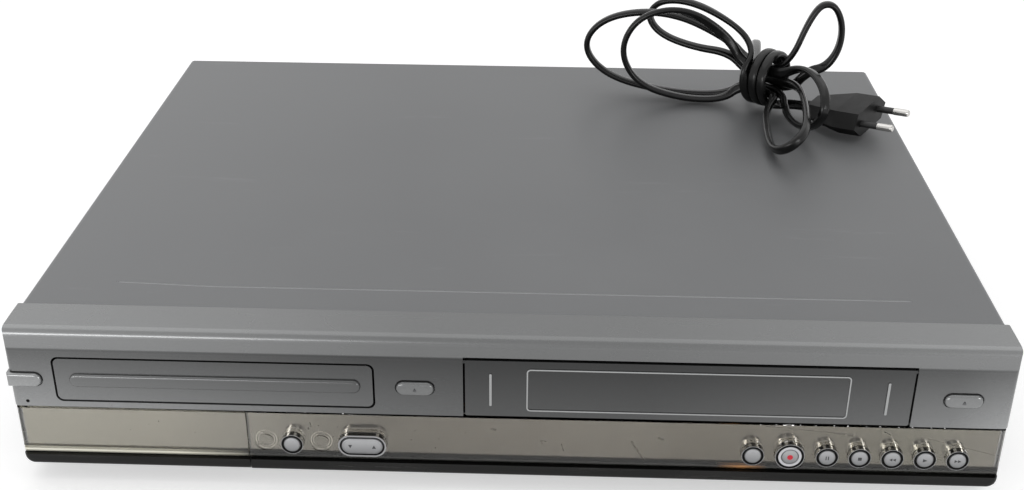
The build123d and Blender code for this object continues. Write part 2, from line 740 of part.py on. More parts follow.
# ------------------------------------------------------------------ disc drive
# A moulded frame carries the tray on two ledges. A pinion under the tray drives the rack on its
# underside, and a magnetic clamp rests in the bridge above the disc.
disc_y = front_y + 90.0
tray_low = 48.5
tray_high = 55.0
tray_floor = 52.0
tray_web = 1.6  # thickness under the disc recess
tray_back = disc_y + 120.0
slot_width = 34.0
rack_module = 1.25
pinion_teeth = 16
pinion_radius = rack_module * pinion_teeth / 2
tooth_pitch = rack_module * pi
tooth_share = 0.41  # of the pitch, so a little play is left
tooth_height = 2.25 * rack_module
tooth_root = tooth_pitch * tooth_share + 2.5 * rack_module * tan(radians(20))
rack_x = tray_x - tray_width / 2 + 8.85  # pitch line
rack_z = (tray_low - 4.0, tray_floor - tray_web + 0.3)
pinion_y = drive_front + 10.5
pinion_x = rack_x + pinion_radius
pinion_pin = 1.5
bridge_z = 60.0
clamp_radius = 16.0
clamp_gap = 1.0
bush_places = [(tray_x + side * 35.0, y) for side in (-1, 1) for y in (disc_y - 30, disc_y + 84)]

with BuildPart() as drive_frame:
    x = (tray_x - drive_half, tray_x + drive_half)
    block(x, (drive_front, drive_back), (drive_floor_z, drive_floor_z + 2))
    for side in (-1, 1):
        side_x = sorted((tray_x + side * drive_half, tray_x + side * (drive_half - 2)))
        ledge_x = sorted((tray_x + side * (drive_half - 1), tray_x + side * (tray_width / 2 - 2.8)))
        block(side_x, (drive_front, drive_back), (drive_floor_z, bridge_z))
        block(ledge_x, (drive_front, drive_back - 4), (tray_low - 2.5, tray_low - fit))
    block(x, (drive_back - 2, drive_back), (drive_floor_z, tray_low - 2.5))
    block(x, (disc_y - 19, disc_y + 19), (bridge_z, bridge_z + 2))
    rod((tray_x, disc_y, bridge_z), clamp_radius + clamp_gap, 8.0, "Z", Mode.SUBTRACT)
    block(
        (tray_x - 30, tray_x + 30),
        (disc_y - 24, disc_y + 78),
        (drive_floor_z - 1, drive_floor_z + 3),
        Mode.SUBTRACT,
    )
    pin_top = rack_z[0] + 1.5
    rod((pinion_x, pinion_y, (drive_floor_z + pin_top) / 2), pinion_pin, pin_top - drive_floor_z, "Z")
    rod((pinion_x, pinion_y, drive_floor_z + 4.5), pinion_pin + 2, 9.0, "Z")
drive_frame.part.label = "drive_frame"
export_step(drive_frame.part, "parts/drive_frame.step")

# The tray has a recess for each size of disc, a slot for the laser and a rack along its left side.
with BuildPart() as disc_tray:
    tray_x_span = (tray_x - tray_width / 2, tray_x + tray_width / 2)
    tray_y_span = (front_y + tray_front_thickness + seat, tray_back)
    block(tray_x_span, tray_y_span, (tray_low, tray_high))
    vertical = disc_tray.edges().filter_by(Axis.Z).group_by(Axis.Y)[-1]
    fillet(vertical, 6.0)
    block(
        (tray_x_span[0] + 5, tray_x_span[1] - 5),
        (tray_y_span[0] + 3, tray_y_span[1] - 6),
        (tray_low - 1, tray_floor - tray_web),
        Mode.SUBTRACT,
    )
    for radius, floor in ((disc_radius, tray_floor), (small_disc_radius, tray_floor - 0.9)):
        with BuildSketch(Plane.XY.offset(floor)):
            with Locations((tray_x, disc_y)):
                Circle(radius)
        extrude(amount=tray_high, mode=Mode.SUBTRACT)
    with BuildSketch(Plane.XY.offset(tray_low - 1)):
        with Locations((tray_x, disc_y)):
            Circle(slot_width / 2)
        with Locations((tray_x, disc_y + 27)):
            Rectangle(slot_width, 54.0)
    extrude(amount=tray_high, mode=Mode.SUBTRACT)
    rack_teeth = int((tray_travel + 12) / tooth_pitch)
    rack_root = rack_x - 1.25 * rack_module
    with BuildSketch(Plane.XY.offset(rack_z[0])):
        rack_middle = pinion_y + (rack_teeth - 3) * tooth_pitch / 2
        with Locations(((tray_x_span[0] + 4 + rack_root) / 2, rack_middle)):
            Rectangle(rack_root - tray_x_span[0] - 4, rack_teeth * tooth_pitch)
        tooth_x = rack_x - rack_module / 8
        with Locations(*[(tooth_x, pinion_y + (n - 1) * tooth_pitch) for n in range(rack_teeth)]):
            Trapezoid(tooth_root, tooth_height + 0.02, 70, rotation=-90)
    extrude(amount=rack_z[1] - rack_z[0])
disc_tray.part.label = "disc_tray"
export_step(disc_tray.part, "parts/disc_tray.step")

# Its front is a separate panel with a rounded bar across it.
bar_length = 125.8
bar_proud = 1.6
with BuildPart() as tray_front:
    with BuildSketch(facing(front_y)):
        with Locations((tray_x, tray_front_z)):
            RectangleRounded(*tray_front_size, 2.6)
    extrude(amount=-tray_front_thickness)
    with BuildSketch(facing(front_y + 0.5)):
        with Locations((tray_x + 0.5, tray_front_z)):
            SlotOverall(bar_length, bar_height)
    extrude(amount=0.5 + bar_proud)
    fillet(tray_front.faces().sort_by(Axis.Y)[0].edges(), 1.4)
tray_front.part.label = "tray_front"
export_step(tray_front.part, "parts/tray_front.step")

with BuildPart() as tray_pinion:
    pulley_z = drive_floor_z + 9.0 + seat
    with BuildSketch(Plane.XY.offset(pulley_z)):
        with Locations((pinion_x, pinion_y)):
            Circle(9.0)
    extrude(amount=3.5)
    with BuildSketch(Plane.XY.offset(pulley_z)):
        with Locations((pinion_x, pinion_y)):
            Circle(4.0)
    extrude(amount=rack_z[0] - pulley_z)
    with BuildSketch(Plane.XY.offset(rack_z[0])):
        with Locations((pinion_x, pinion_y)):
            Circle(pinion_radius - 1.25 * rack_module)
            with PolarLocations(
                pinion_radius - rack_module / 8, pinion_teeth, start_angle=180 + 180 / pinion_teeth
            ):
                Trapezoid(tooth_root, tooth_height + 0.2, 70, rotation=-90)
    extrude(amount=tray_low - rack_z[0] - fit)
    rod((pinion_x, pinion_y, rack_z[0]), pinion_pin + run, 40.0, "Z", Mode.SUBTRACT)
tray_pinion.part.label = "tray_pinion"
export_step(tray_pinion.part, "parts/tray_pinion.step")

with BuildPart() as disc_clamp:
    rod((tray_x, disc_y, bridge_z + 0.3), clamp_radius, 4.6, "Z")
    rod((tray_x, disc_y, bridge_z + 2.6 + seat), clamp_radius + 3.5, 1.2, "Z")
    rod((tray_x, disc_y, bridge_z - 2.0), 7.6, 3.0, "Z", Mode.SUBTRACT)
disc_clamp.part.label = "disc_clamp"
export_step(disc_clamp.part, "parts/disc_clamp.step")

# The laser unit's plate stands on four soft bushings and carries the disc motor and two guide rods.
plate_z = drive_floor_z + 6.0
rod_offset = 20.0
rod_radius = 1.5
rod_z = drive_floor_z + 12.0
rod_y = (disc_y + 12.0, disc_y + 82.0)
shaft_radius = 1.0
platter_z = tray_low - 5.0

with BuildPart() as traverse:
    with BuildSketch(Plane.XY.offset(plate_z)):
        with Locations((tray_x, disc_y + 27)):
            RectangleRounded(78.0, 126.0, 4.0)
        with Locations((tray_x, disc_y + 47)):
            RectangleRounded(28.0, 56.0, 3.0, mode=Mode.SUBTRACT)
    extrude(amount=2.0)
    with BuildSketch(Plane.XY.offset(drive_floor_z + 2 + seat)):
        with Locations(*bush_places):
            Circle(3.5)
    extrude(amount=plate_z - drive_floor_z - 2)
    rod((tray_x, disc_y, plate_z + 4), 10.5, 6.0, "Z")
    rod((tray_x, disc_y, plate_z + 6), shaft_radius + run, 20.0, "Z", Mode.SUBTRACT)
    for side in (-1, 1):
        x = tray_x + side * rod_offset
        rod((x, (rod_y[0] + rod_y[1]) / 2, rod_z), rod_radius, rod_y[1] - rod_y[0], "Y")
        for y in rod_y:
            block((x - 3, x + 3), (y - 1, y + 1), (plate_z + 1, rod_z + 3))
    rod((tray_x - 31, rod_y[1] - 10, rod_z), 5.0, 18.0, "Y")
    rod((tray_x - 31, rod_y[1] - 40, rod_z), 1.1, 56.0, "Y")
    block((tray_x - 34, tray_x - 28), (rod_y[1] - 18, rod_y[1] - 2), (plate_z + 1, rod_z))
    block((tray_x - 33, tray_x - 29), (rod_y[0], rod_y[0] + 3), (plate_z + 1, rod_z + 2))
traverse.part.label = "traverse"
export_step(traverse.part, "parts/traverse.step")

with BuildPart() as turntable:
    rod((tray_x, disc_y, platter_z + 1), 15.0, 2.0, "Z")
    rod((tray_x, disc_y, platter_z - 1.8), 11.5, 3.6, "Z")
    with BuildSketch(Plane.XY.offset(platter_z + 2)):
        with Locations((tray_x, disc_y)):
            Circle(7.3)
    extrude(amount=1.8, taper=25)
    rod((tray_x, disc_y, plate_z + 7.5), shaft_radius, 2 * (platter_z - plate_z - 7.5), "Z")
turntable.part.label = "turntable"
export_step(turntable.part, "parts/turntable.step")

sled_travel = 34.0
sled_size = (48.0, 23.0, 8.0)
sled_y = disc_y + 17.0
with BuildPart() as laser_sled:
    with BuildSketch(Plane.XY.offset(plate_z + 3)):
        with Locations((tray_x, sled_y + sled_size[1] / 2)):
            RectangleRounded(sled_size[0], sled_size[1], 3.0)
    extrude(amount=sled_size[2])
    rod((tray_x, sled_y + 8, plate_z + 3 + sled_size[2]), 4.0, 3.0, "Z")
    rod((tray_x, sled_y + 8, plate_z + 5 + sled_size[2]), 2.4, 2.0, "Z", Mode.SUBTRACT)
    for side in (-1, 1):
        rod((tray_x + side * rod_offset, sled_y, rod_z), rod_radius + run, 80.0, "Y", Mode.SUBTRACT)
laser_sled.part.label = "laser_sled"
export_step(laser_sled.part, "parts/laser_sled.step")

# ------------------------------------------------------------------ cassette deck
# A pressed chassis with two upright walls. The carriage takes the cassette and drops it on to the
# two reel tables, and the tilted drum, the capstan and the tape guides stand behind it.
deck_sheet = 1.2
deck_top = deck_base_z + deck_sheet
carriage_y = (joint_y + 14.2, joint_y + 116.2)
carriage_half = cassette_size[0] / 2 + 1.9
carriage_low = split_z - 1.6
carriage_high = carriage_low + cassette_size[2] + 3.5
carriage_pin = 1.5
pin_z = carriage_low + 6.5
pin_y = (carriage_y[0] + 26, carriage_y[0] + 76)
reel_places = [(door_x + side * reel_spacing / 2, joint_y + 72.0) for side in (-1, 1)]
reel_z = deck_top + 1.2 + seat
reel_pin = 1.25
drum_x, drum_y = door_x - 8.0, joint_y + 156.0
capstan_x, capstan_y = door_x + 51.0, joint_y + 132.0
capstan_radius = 1.5
bearing_top = deck_base_z + 12.0
drum_plane = Plane(
    origin=(drum_x, drum_y, deck_top + 3.0),
    x_dir=(cos(radians(drum_tilt)), 0, -sin(radians(drum_tilt))),
    z_dir=(sin(radians(drum_tilt)), 0, cos(radians(drum_tilt))),
)
drum_step = 14.0  # height of the lower drum
drum_height = 14.0
drum_shaft = 3.0

with BuildPart() as deck_chassis:
    block((door_x - deck_half, door_x + deck_half), (deck_front, deck_back), (deck_base_z, deck_top))
    for side in (-1, 1):
        wall_x = sorted((door_x + side * deck_half, door_x + side * (deck_half - deck_sheet)))
        block(wall_x, (carriage_y[0] - 4, carriage_y[1] + 14), (deck_base_z, carriage_high))
    for y in pin_y:
        block(
            (door_x - deck_half - 1, door_x + deck_half + 1),
            (y - carriage_pin - fit, y + carriage_pin + fit),
            (pin_z - carriage_drop - carriage_pin - fit, pin_z + carriage_pin + fit),
            Mode.SUBTRACT,
        )
    with BuildSketch(Plane.XY.offset(deck_top)):
        with Locations(*reel_places):
            Circle(3.4)
    extrude(amount=1.2)
    with BuildSketch(Plane.XY.offset(deck_top)):
        with Locations(*reel_places):
            Circle(reel_pin)
    extrude(amount=12.0)
    rod((capstan_x, capstan_y, (deck_base_z + bearing_top) / 2), 4.0, bearing_top - deck_base_z, "Z")
    rod((capstan_x, capstan_y, deck_base_z), capstan_radius + run, 60.0, "Z", Mode.SUBTRACT)
deck_chassis.part.label = "deck_chassis"
export_step(deck_chassis.part, "parts/deck_chassis.step")

with BuildPart() as cassette_carriage:
    for side in (-1, 1):
        plate_x = sorted((door_x + side * carriage_half, door_x + side * (carriage_half - 1.0)))
        ledge_x = sorted((door_x + side * carriage_half, door_x + side * (carriage_half - 14.0)))
        block(plate_x, carriage_y, (carriage_low, carriage_high))
        block(ledge_x, carriage_y, (carriage_low, carriage_low + 1.0))
        pin_x = door_x + side * (carriage_half + deck_half - 1.0) / 2
        for y in pin_y:
            rod((pin_x, y, pin_z), carriage_pin, deck_half - carriage_half + 1.0, "X")
    top_y = (carriage_y[0] + 16, carriage_y[1] - 26)
    block((door_x - carriage_half, door_x + carriage_half), top_y, (carriage_high - 1.0, carriage_high))
    for side in (-1, 1):
        hole_x = sorted((door_x + side * 12, door_x + side * 76))
        hole_y = (top_y[0] + 12, top_y[1] - 12)
        block(hole_x, hole_y, (carriage_high - 2, carriage_high + 1), Mode.SUBTRACT)
cassette_carriage.part.label = "cassette_carriage"
export_step(cassette_carriage.part, "parts/cassette_carriage.step")

for name, place in {"supply_reel": reel_places[0], "takeup_reel": reel_places[1]}.items():
    with BuildPart() as reel:
        with BuildSketch(Plane.XY.offset(reel_z)):
            with Locations(place):
                Circle(15.0)
        extrude(amount=2.2)
        with BuildSketch(Plane.XY.offset(reel_z)):
            with Locations(place):
                Circle(3.4)
                with PolarLocations(3.6, 3):
                    Rectangle(3.6, 1.2)
        extrude(amount=12.6)
        rod((*place, reel_z), reel_pin + run, 24.0, "Z", Mode.SUBTRACT)
    reel.part.label = name
    export_step(reel.part, f"parts/{name}.step")

with BuildPart() as drum_base:
    rod((drum_x, drum_y, deck_top + seat + 2.5), drum_radius + 2, 5.0, "Z")
    with BuildSketch(drum_plane.offset(1.0)):
        Circle(drum_radius - 0.6)
    extrude(amount=drum_step - 1.0)
    with BuildSketch(drum_plane.offset(-8.0)):
        Circle(drum_shaft + run)
    extrude(amount=drum_step + 9.0, mode=Mode.SUBTRACT)
drum_base.part.label = "drum_base"
export_step(drum_base.part, "parts/drum_base.step")

with BuildPart() as head_drum:
    with BuildSketch(drum_plane.offset(drum_step + fit)):
        Circle(drum_radius)
    extrude(amount=drum_height)
    with BuildSketch(drum_plane.offset(drum_step + fit + drum_height)):
        Circle(drum_radius - 4)
        Circle(11.0, mode=Mode.SUBTRACT)
    extrude(amount=-3.0, mode=Mode.SUBTRACT)
    with BuildSketch(drum_plane.offset(drum_step + fit + drum_height)):
        with PolarLocations(21.0, 6):
            Circle(2.2)
    extrude(amount=-6.0, mode=Mode.SUBTRACT)
    with BuildSketch(drum_plane.offset(drum_step + fit)):
        with PolarLocations(drum_radius, 4):
            Rectangle(3.0, 3.0)
    extrude(amount=2.0, mode=Mode.SUBTRACT)
    with BuildSketch(drum_plane):
        Circle(drum_shaft)
    extrude(amount=drum_step + fit + drum_height + 2)
head_drum.part.label = "head_drum"
export_step(head_drum.part, "parts/head_drum.step")

flywheel_z = (base_top + 2.0, deck_base_z - 1.5)
with BuildPart() as capstan:
    rod((capstan_x, capstan_y, sum(flywheel_z) / 2), 26.0, flywheel_z[1] - flywheel_z[0], "Z")
    rod((capstan_x, capstan_y, (flywheel_z[0] + 44.0) / 2), capstan_radius, 44.0 - flywheel_z[0], "Z")
    with BuildSketch(Plane.XY.offset(flywheel_z[1])):
        with Locations((capstan_x, capstan_y)):
            Circle(20.0)
            Circle(7.0, mode=Mode.SUBTRACT)
    extrude(amount=-1.8, mode=Mode.SUBTRACT)
capstan.part.label = "capstan"
export_step(capstan.part, "parts/capstan.step")

# Tape guides: flanged posts, erase head, sound head and the pinch roller on its lever.
guide_places = [
    (door_x - 88, drum_y - 26),
    (door_x - 57, drum_y - 12),
    (door_x + 37, drum_y + 8),
    (door_x + 88, drum_y - 26),
]
head_places = ((door_x - 72, drum_y - 22), (door_x + 40, capstan_y - 2))
guide_low = deck_top + seat
guide_height = 26.0
lever_pivot = (capstan_x + 30, capstan_y + 26)
roller_place = (capstan_x + 12, capstan_y + 12)
with BuildPart() as tape_guides:
    for place in guide_places:
        rod((*place, guide_low + guide_height / 2), 2.0, guide_height, "Z")
        for z in (guide_low + 1, guide_low + 9, guide_low + 23):
            rod((*place, z), 4.0, 1.6, "Z")
    for x, y in head_places:
        block((x - 5, x + 5), (y - 3, y + 3), (guide_low, guide_low + 24))
    rod((*lever_pivot, guide_low + 8), 3.0, 16.0, "Z")
    lever_run = Vector(*lever_pivot) - Vector(*roller_place)
    with BuildSketch(Plane.XY.offset(guide_low + 11)):
        with Locations(Vector(*roller_place) + lever_run / 2):
            SlotCenterToCenter(lever_run.length, 8.0, rotation=degrees(atan2(lever_run.Y, lever_run.X)))
    extrude(amount=2.0)
    rod((*roller_place, guide_low + 18), 6.0, 12.0, "Z")
tape_guides.part.label = "tape_guides"
export_step(tape_guides.part, "parts/tape_guides.step")

with BuildPart() as loading_motors:
    motor_low = drive_floor_z + 2 + seat
    rod((tray_x - 20, pinion_y + 2, motor_low + 7), 10.0, 14.0, "Z")
    rod((tray_x - 20, pinion_y + 2, motor_low + 16), 3.5, 4.0, "Z")
    motor_radius = 11.0
    rod((door_x + 74, deck_back - 20, deck_top + seat + motor_radius), motor_radius, 28.0, "Y")
    block((door_x + 68, door_x + 80), (deck_back - 32, deck_back - 8), (deck_top + seat, deck_top + 8))
loading_motors.part.label = "loading_motors"
export_step(loading_motors.part, "parts/loading_motors.step")

# ------------------------------------------------------------------ boards and rear panel
def board(centre, size):
    """Circuit board on its four posts."""
    with Locations((*centre, board_z + board_thickness / 2)):
        Box(*size, board_thickness)


board_top = board_z + board_thickness

with BuildPart() as main_board:
    board(main_centre, main_size)
    for dx, dy, side in ((-60, -12, 28.0), (-14, -16, 22.0), (34, -12, 18.0)):
        with Locations((main_centre[0] + dx, main_centre[1] + dy, board_top + 1.2)):
            Box(side, side, 2.4)
    for index in range(6):
        rod((main_centre[0] - 80 + 32 * index, main_centre[1] + 16, board_top + 5), 4.0, 10.0, "Z")
    block(
        (main_centre[0] + 60, main_centre[0] + 92),
        (main_centre[1] - 34, main_centre[1] + 4),
        (board_top, board_top + 14),
    )
main_board.part.label = "main_board"
export_step(main_board.part, "parts/main_board.step")

sink_height = 30.0
sink_fins = 8
sink_pitch = 10.5

with BuildPart() as power_board:
    board(power_centre, power_size)
    px, py = power_centre
    block((px - 30, px + 14), (py - 18, py + 20), (board_top, board_top + 32))
    rod((px + 34, py + 8, board_top + 17), 12.0, 34.0, "Z")
    block((px - 38, px + 42), (py - 28, py - 25), (board_top, board_top + sink_height))
    for index in range(sink_fins):
        x = px - 36 + sink_pitch * index
        block((x, x + 2), (py - 36, py - 26), (board_top, board_top + sink_height))
    for index in range(3):
        rod((px - 50, py - 20 + 18 * index, board_top + 8), 6.0, 16.0, "Z")
power_board.part.label = "power_board"
export_step(power_board.part, "parts/power_board.step")

panel_low = base_top + seat
panel_high = cover_top - sheet - seat
cord_x, cord_z = 150.0, 30.0
fan_x, fan_z, fan_size, fan_depth = 95.0, 45.0, 40.0, 10.0
fan_bore = 18.5
scart_x, scart_z, scart_size = (-52.0, 8.0), board_top + 10.0, (47.0, 15.5)
phono_rows, phono_columns, phono_step = 2, 4, 14.0
rear_phono_x, rear_phono_z = -115.0, board_top + 19.0
aerial_x, aerial_z = left + 32.0, (26.0, 46.0)
aerial_radius = 4.8
panel_in_y = panel_out_y - sheet

with BuildPart() as rear_panel:
    with BuildSketch(facing(panel_in_y)):
        with Locations((0, (panel_low + panel_high) / 2)):
            outline = Rectangle(2 * (base_half - 0.5), panel_high - panel_low)
        fillet(outline.vertices().group_by(Axis.Y)[-1], bend)
    extrude(amount=-sheet)
    with BuildSketch(facing(panel_out_y + 1)):
        with Locations((cord_x, cord_z)):
            Circle(6.0 + seat)
        with Locations((fan_x, fan_z)):
            with GridLocations(5.4, 1.0, 6, 1):
                SlotOverall(30.0, 3.0, rotation=90)
        with Locations(*[(x, scart_z) for x in scart_x]):
            Rectangle(scart_size[0] + 2 * fit, scart_size[1] + 2 * fit)
        with Locations((rear_phono_x, rear_phono_z)):
            with GridLocations(phono_step, phono_step, phono_columns, phono_rows):
                Circle(phono_barrel + fit)
        with Locations(*[(aerial_x, z) for z in aerial_z]):
            Circle(aerial_radius + fit)
        with Locations((right - 40, 56.0)):
            with GridLocations(5.0, 1.0, 6, 1):
                SlotOverall(24.0, 2.4, rotation=90)
        with Locations(*[(x, rear_screw_z) for x in rear_screw_x]):
            Circle(screw_radius + 0.2)
    extrude(amount=4.0, mode=Mode.SUBTRACT)
rear_panel.part.label = "rear_panel"
export_step(rear_panel.part, "parts/rear_panel.step")

with BuildPart() as scart_sockets:
    for x in scart_x:
        block(
            (x - scart_size[0] / 2, x + scart_size[0] / 2),
            (panel_in_y - 20, panel_out_y + 2),
            (scart_z - scart_size[1] / 2, scart_z + scart_size[1] / 2),
        )
        block((x - 22, x + 22), (panel_in_y - 20, panel_in_y - 2), (board_top + seat, scart_z))
        with BuildSketch(facing(panel_out_y + 2)):
            with Locations((x, scart_z)):
                Rectangle(42.0, 11.5)
                Rectangle(38.6, 8.1, mode=Mode.SUBTRACT)
        extrude(amount=-9.0, mode=Mode.SUBTRACT)
scart_sockets.part.label = "scart_sockets"
export_step(scart_sockets.part, "parts/scart_sockets.step")

with BuildPart() as rca_sockets:
    block_half = phono_columns * phono_step / 2
    block(
        (rear_phono_x - block_half, rear_phono_x + block_half),
        (panel_in_y - 14, panel_in_y - seat),
        (board_top + seat, rear_phono_z + 14),
    )
    with BuildSketch(facing(panel_in_y - 1)):
        with Locations((rear_phono_x, rear_phono_z)):
            with GridLocations(phono_step, phono_step, phono_columns, phono_rows):
                Circle(phono_barrel)
    extrude(amount=-9.0)
    with BuildSketch(facing(panel_in_y + 8)):
        with Locations((rear_phono_x, rear_phono_z)):
            with GridLocations(phono_step, phono_step, phono_columns, phono_rows):
                Circle(phono_bore)
    extrude(amount=9.0, mode=Mode.SUBTRACT)
rca_sockets.part.label = "rca_sockets"
export_step(rca_sockets.part, "parts/rca_sockets.step")

with BuildPart() as tuner:
    block(
        (aerial_x - 17, aerial_x + 17),
        (panel_in_y - 60, panel_in_y - seat),
        (base_z + low_flange + seat, 58.0),
    )
    for z in aerial_z:
        rod((aerial_x, panel_in_y + 4, z), aerial_radius, 10.0, "Y")
        rod((aerial_x, panel_in_y + 5, z), 1.6, 10.0, "Y", Mode.SUBTRACT)
tuner.part.label = "tuner"
export_step(tuner.part, "parts/tuner.step")

with BuildPart() as fan_frame:
    fan_back = panel_in_y - seat
    with BuildSketch(facing(fan_back)):
        with Locations((fan_x, fan_z)):
            RectangleRounded(fan_size, fan_size, 2.5)
            Circle(fan_bore, mode=Mode.SUBTRACT)
            with GridLocations(fan_size - 8, fan_size - 8, 2, 2):
                Circle(1.7, mode=Mode.SUBTRACT)
    extrude(amount=fan_depth)
    with BuildSketch(facing(fan_back)):
        with Locations((fan_x, fan_z)):
            Circle(9.0)
            with PolarLocations(fan_bore / 2 + 4, 3):
                Rectangle(fan_bore - 6, 2.4)
    extrude(amount=1.6)
    rod((fan_x, fan_back - 4.6, fan_z), 1.0, 7.0, "Y")
fan_frame.part.label = "fan_frame"
export_step(fan_frame.part, "parts/fan_frame.step")

with BuildPart() as fan_rotor:
    rotor_y = fan_back - 1.6 - seat
    rod((fan_x, rotor_y - 3.6, fan_z), 9.0, 7.2, "Y")
    with Locations(facing(rotor_y - 3.6).shift_origin((fan_x, rotor_y - 3.6, fan_z))):
        with PolarLocations(12.6, 7):
            Box(9.6, 7.4, 1.0, rotation=(38, 0, 0))
    rod((fan_x, rotor_y, fan_z), 1.0 + run, 14.0, "Y", Mode.SUBTRACT)
fan_rotor.part.label = "fan_rotor"
export_step(fan_rotor.part, "parts/fan_rotor.step")

# Screws of the cover: two in each side and three in the rear flange.
with BuildPart() as cover_screws:
    for side in (-1, 1):
        head_x = side * (cover_half + seat)
        for y in side_screw_places:
            rod((head_x + side * 0.8, y, side_screw_z), screw_head, 1.6, "X")
            rod((head_x - side * 2.0, y, side_screw_z), screw_radius, 5.0, "X")
    for x in rear_screw_x:
        rod((x, back_y + seat + 0.8, rear_screw_z), screw_head, 1.6, "Y")
        rod((x, back_y - 2.0, rear_screw_z), screw_radius, 5.0, "Y")
cover_screws.part.label = "cover_screws"
export_step(cover_screws.part, "parts/cover_screws.step")

# ------------------------------------------------------------------ cassette door
# The door hangs on two pins near its top edge and swings in over the cassette. A thin raised line
# frames the middle of its face, with a short upright bar on each side.
ridge = 0.6
ridge_proud = 0.45
ridge_x = (door_x - 68.6, door_x + 68.4)
ridge_z = (door_z - 10.8, door_z + 10.2)
ridge_wide, ridge_tall = ridge_x[1] - ridge_x[0], ridge_z[1] - ridge_z[0]
bar_x = (door_x - 84.0, door_x + 84.5)

with BuildPart() as cassette_door:
    with BuildSketch(facing(front_y)):
        with Locations((door_x, door_z)):
            RectangleRounded(*door_size, 0.8)
    extrude(amount=-door_thickness)
    with BuildSketch(facing(front_y)):
        with Locations((sum(ridge_x) / 2, sum(ridge_z) / 2)):
            RectangleRounded(ridge_wide, ridge_tall, 1.8)
            RectangleRounded(ridge_wide - 2 * ridge, ridge_tall - 2 * ridge, 1.2, mode=Mode.SUBTRACT)
        with Locations(*[(x, door_z - 0.5) for x in bar_x]):
            SlotOverall(16.0, 1.3, rotation=90)
    extrude(amount=ridge_proud)
    for side in (-1, 1):
        pin_x = door_x + side * (door_size[0] / 2 + 0.5)
        rod((pin_x, door_hinge_y, door_hinge_z), door_pin_radius, 4.0, "X")
cassette_door.part.label = "cassette_door"
export_step(cassette_door.part, "parts/cassette_door.step")

# ------------------------------------------------------------------ mains lead
# The lead leaves a gland in the rear panel, comes up over the back edge and lies on the cover as a
# hank: three loops to the left and three to the right of a waist, held by two turns round it. The
# flat twin lead is drawn as an eight-sided tube. All its points are measured from the place where
# it comes over the back edge.
cord_thickness = 5.0
cord_sides = 8
slot_pitch = 6.2
waist_half = 13.0
wrap_radius = 14.9
wrap_pitch = 5.8
wrap_sides = 8
wrap_angles = (110.0, 955.0)
lead_origin = Vector(cord_x, back_y, cover_top)
waist = lead_origin + Vector(-9.0, -66.0, 19.0)
waist_along = Vector(0.75, -0.66, 0).normalized()
waist_across = Vector(0.66, 0.75, 0).normalized()
upward = Vector(0, 0, 1)

gland_reach = 21.0

lead_route = [
    Vector(cord_x, back_y + gland_reach, cord_z),
    Vector(cord_x, back_y + 38, cord_z + 0.5),
    Vector(cord_x, back_y + 54, cord_z + 10),
    Vector(cord_x, back_y + 59, cord_z + 27.5),
    lead_origin + Vector(-0.5, 53, -3),
    lead_origin + Vector(-1.5, 37, 7.5),
    lead_origin + Vector(-4, 15, 9.5),
    lead_origin + Vector(-7.5, -6, 9.5),
    lead_origin + Vector(-12, -26, 9),
]


def slot(column, row, along):
    """Point on one of the strands that run side by side through the waist."""
    beside = waist_across * (column * slot_pitch) + upward * (row * slot_pitch)
    return waist + beside + waist_along * along


def loop(start, end, side, first, tip, heights, count, spread, lean=0.0, rise=1.6, power=1.0):
    """Points of an oval loop beyond one end of the waist, between two of its strands."""
    root = (slot(*start, side * waist_half) + slot(*end, side * waist_half)) / 2
    middle = sum(heights) / 2 - root.Z + cover_top
    reach = Vector(lead_origin.X + tip[0] - root.X, lead_origin.Y + tip[1] - root.Y, 0)
    aside = Vector(-reach.Y, reach.X, 0).normalized()
    points = []
    for index in range(count):
        angle = radians(first * spread * (1 - 2 * index / (count - 1)))
        along = (1 + abs(cos(angle)) ** power * (1 if cos(angle) > 0 else -1)) / 2
        across = abs(sin(angle)) ** power * (1 if sin(angle) > 0 else -1)
        lift = middle * min(1, along * rise) + (heights[1] - heights[0]) / 2 * across
        lift = max(lift, cover_top + heights[0] - root.Z)
        points.append(root + reach * along + aside * (lean * across) + upward * lift)
    return points


def strand(column, row, side):
    """A strand through the waist, from the given side to the other."""
    return [slot(column, row, side * waist_half), slot(column, row, -side * waist_half)]


back_low, centre = (1, -1), (0, 0)
middle_high, middle_low = (0, 1), (0, -1)
front_high, front_low = (-1, 1), (-1, -1)
wrap_count = round((wrap_angles[1] - wrap_angles[0]) / (360 / wrap_sides))
wrap_reach = 0.985 * wrap_radius / cos(pi / wrap_sides)
wraps = []
for index in range(wrap_count + 1):
    angle = radians(wrap_angles[0] + (wrap_angles[1] - wrap_angles[0]) * index / wrap_count)
    along = -6.5 + wrap_pitch * (angle - radians(wrap_angles[0])) / (2 * pi)
    spoke = waist_across * cos(angle) + upward * sin(angle)
    wraps.append(waist + waist_along * along + spoke * wrap_reach)

plug_along = Vector(0.765, -0.642, 0.109).normalized()
plug_entry = lead_origin + Vector(12.5, -78.9, 6.5)
hank_route = (
    strand(*back_low, -1)
    + loop(back_low, middle_high, 1, -1, (31, -72), (25, 68), 6, 105, rise=2.2)
    + strand(*middle_high, 1)
    + loop(middle_high, middle_low, -1, 1, (-117, -41), (3, 55), 7, 138)
    + strand(*middle_low, -1)
    + loop(middle_low, front_high, 1, -1, (15.5, -125), (4, 35), 7, 120, lean=3.5)
    + strand(*front_high, 1)
    + loop(front_high, front_low, -1, 1, (-95, -59), (3, 61), 7, 138)
    + strand(*front_low, -1)
    + loop(front_low, centre, 1, -1, (-5.5, -152), (3, 19), 9, 130, lean=10, power=0.75)
    + strand(*centre, 1)
    + loop(centre, centre, -1, -1, (-78, -32), (29, 60), 7, 130)[:6]
    + [lead_origin + Vector(-24.5, -54, 44)]
    + wraps
    + [lead_origin + Vector(-1.5, -70.2, 3.6), plug_entry - plug_along * 8.5, plug_entry]
)


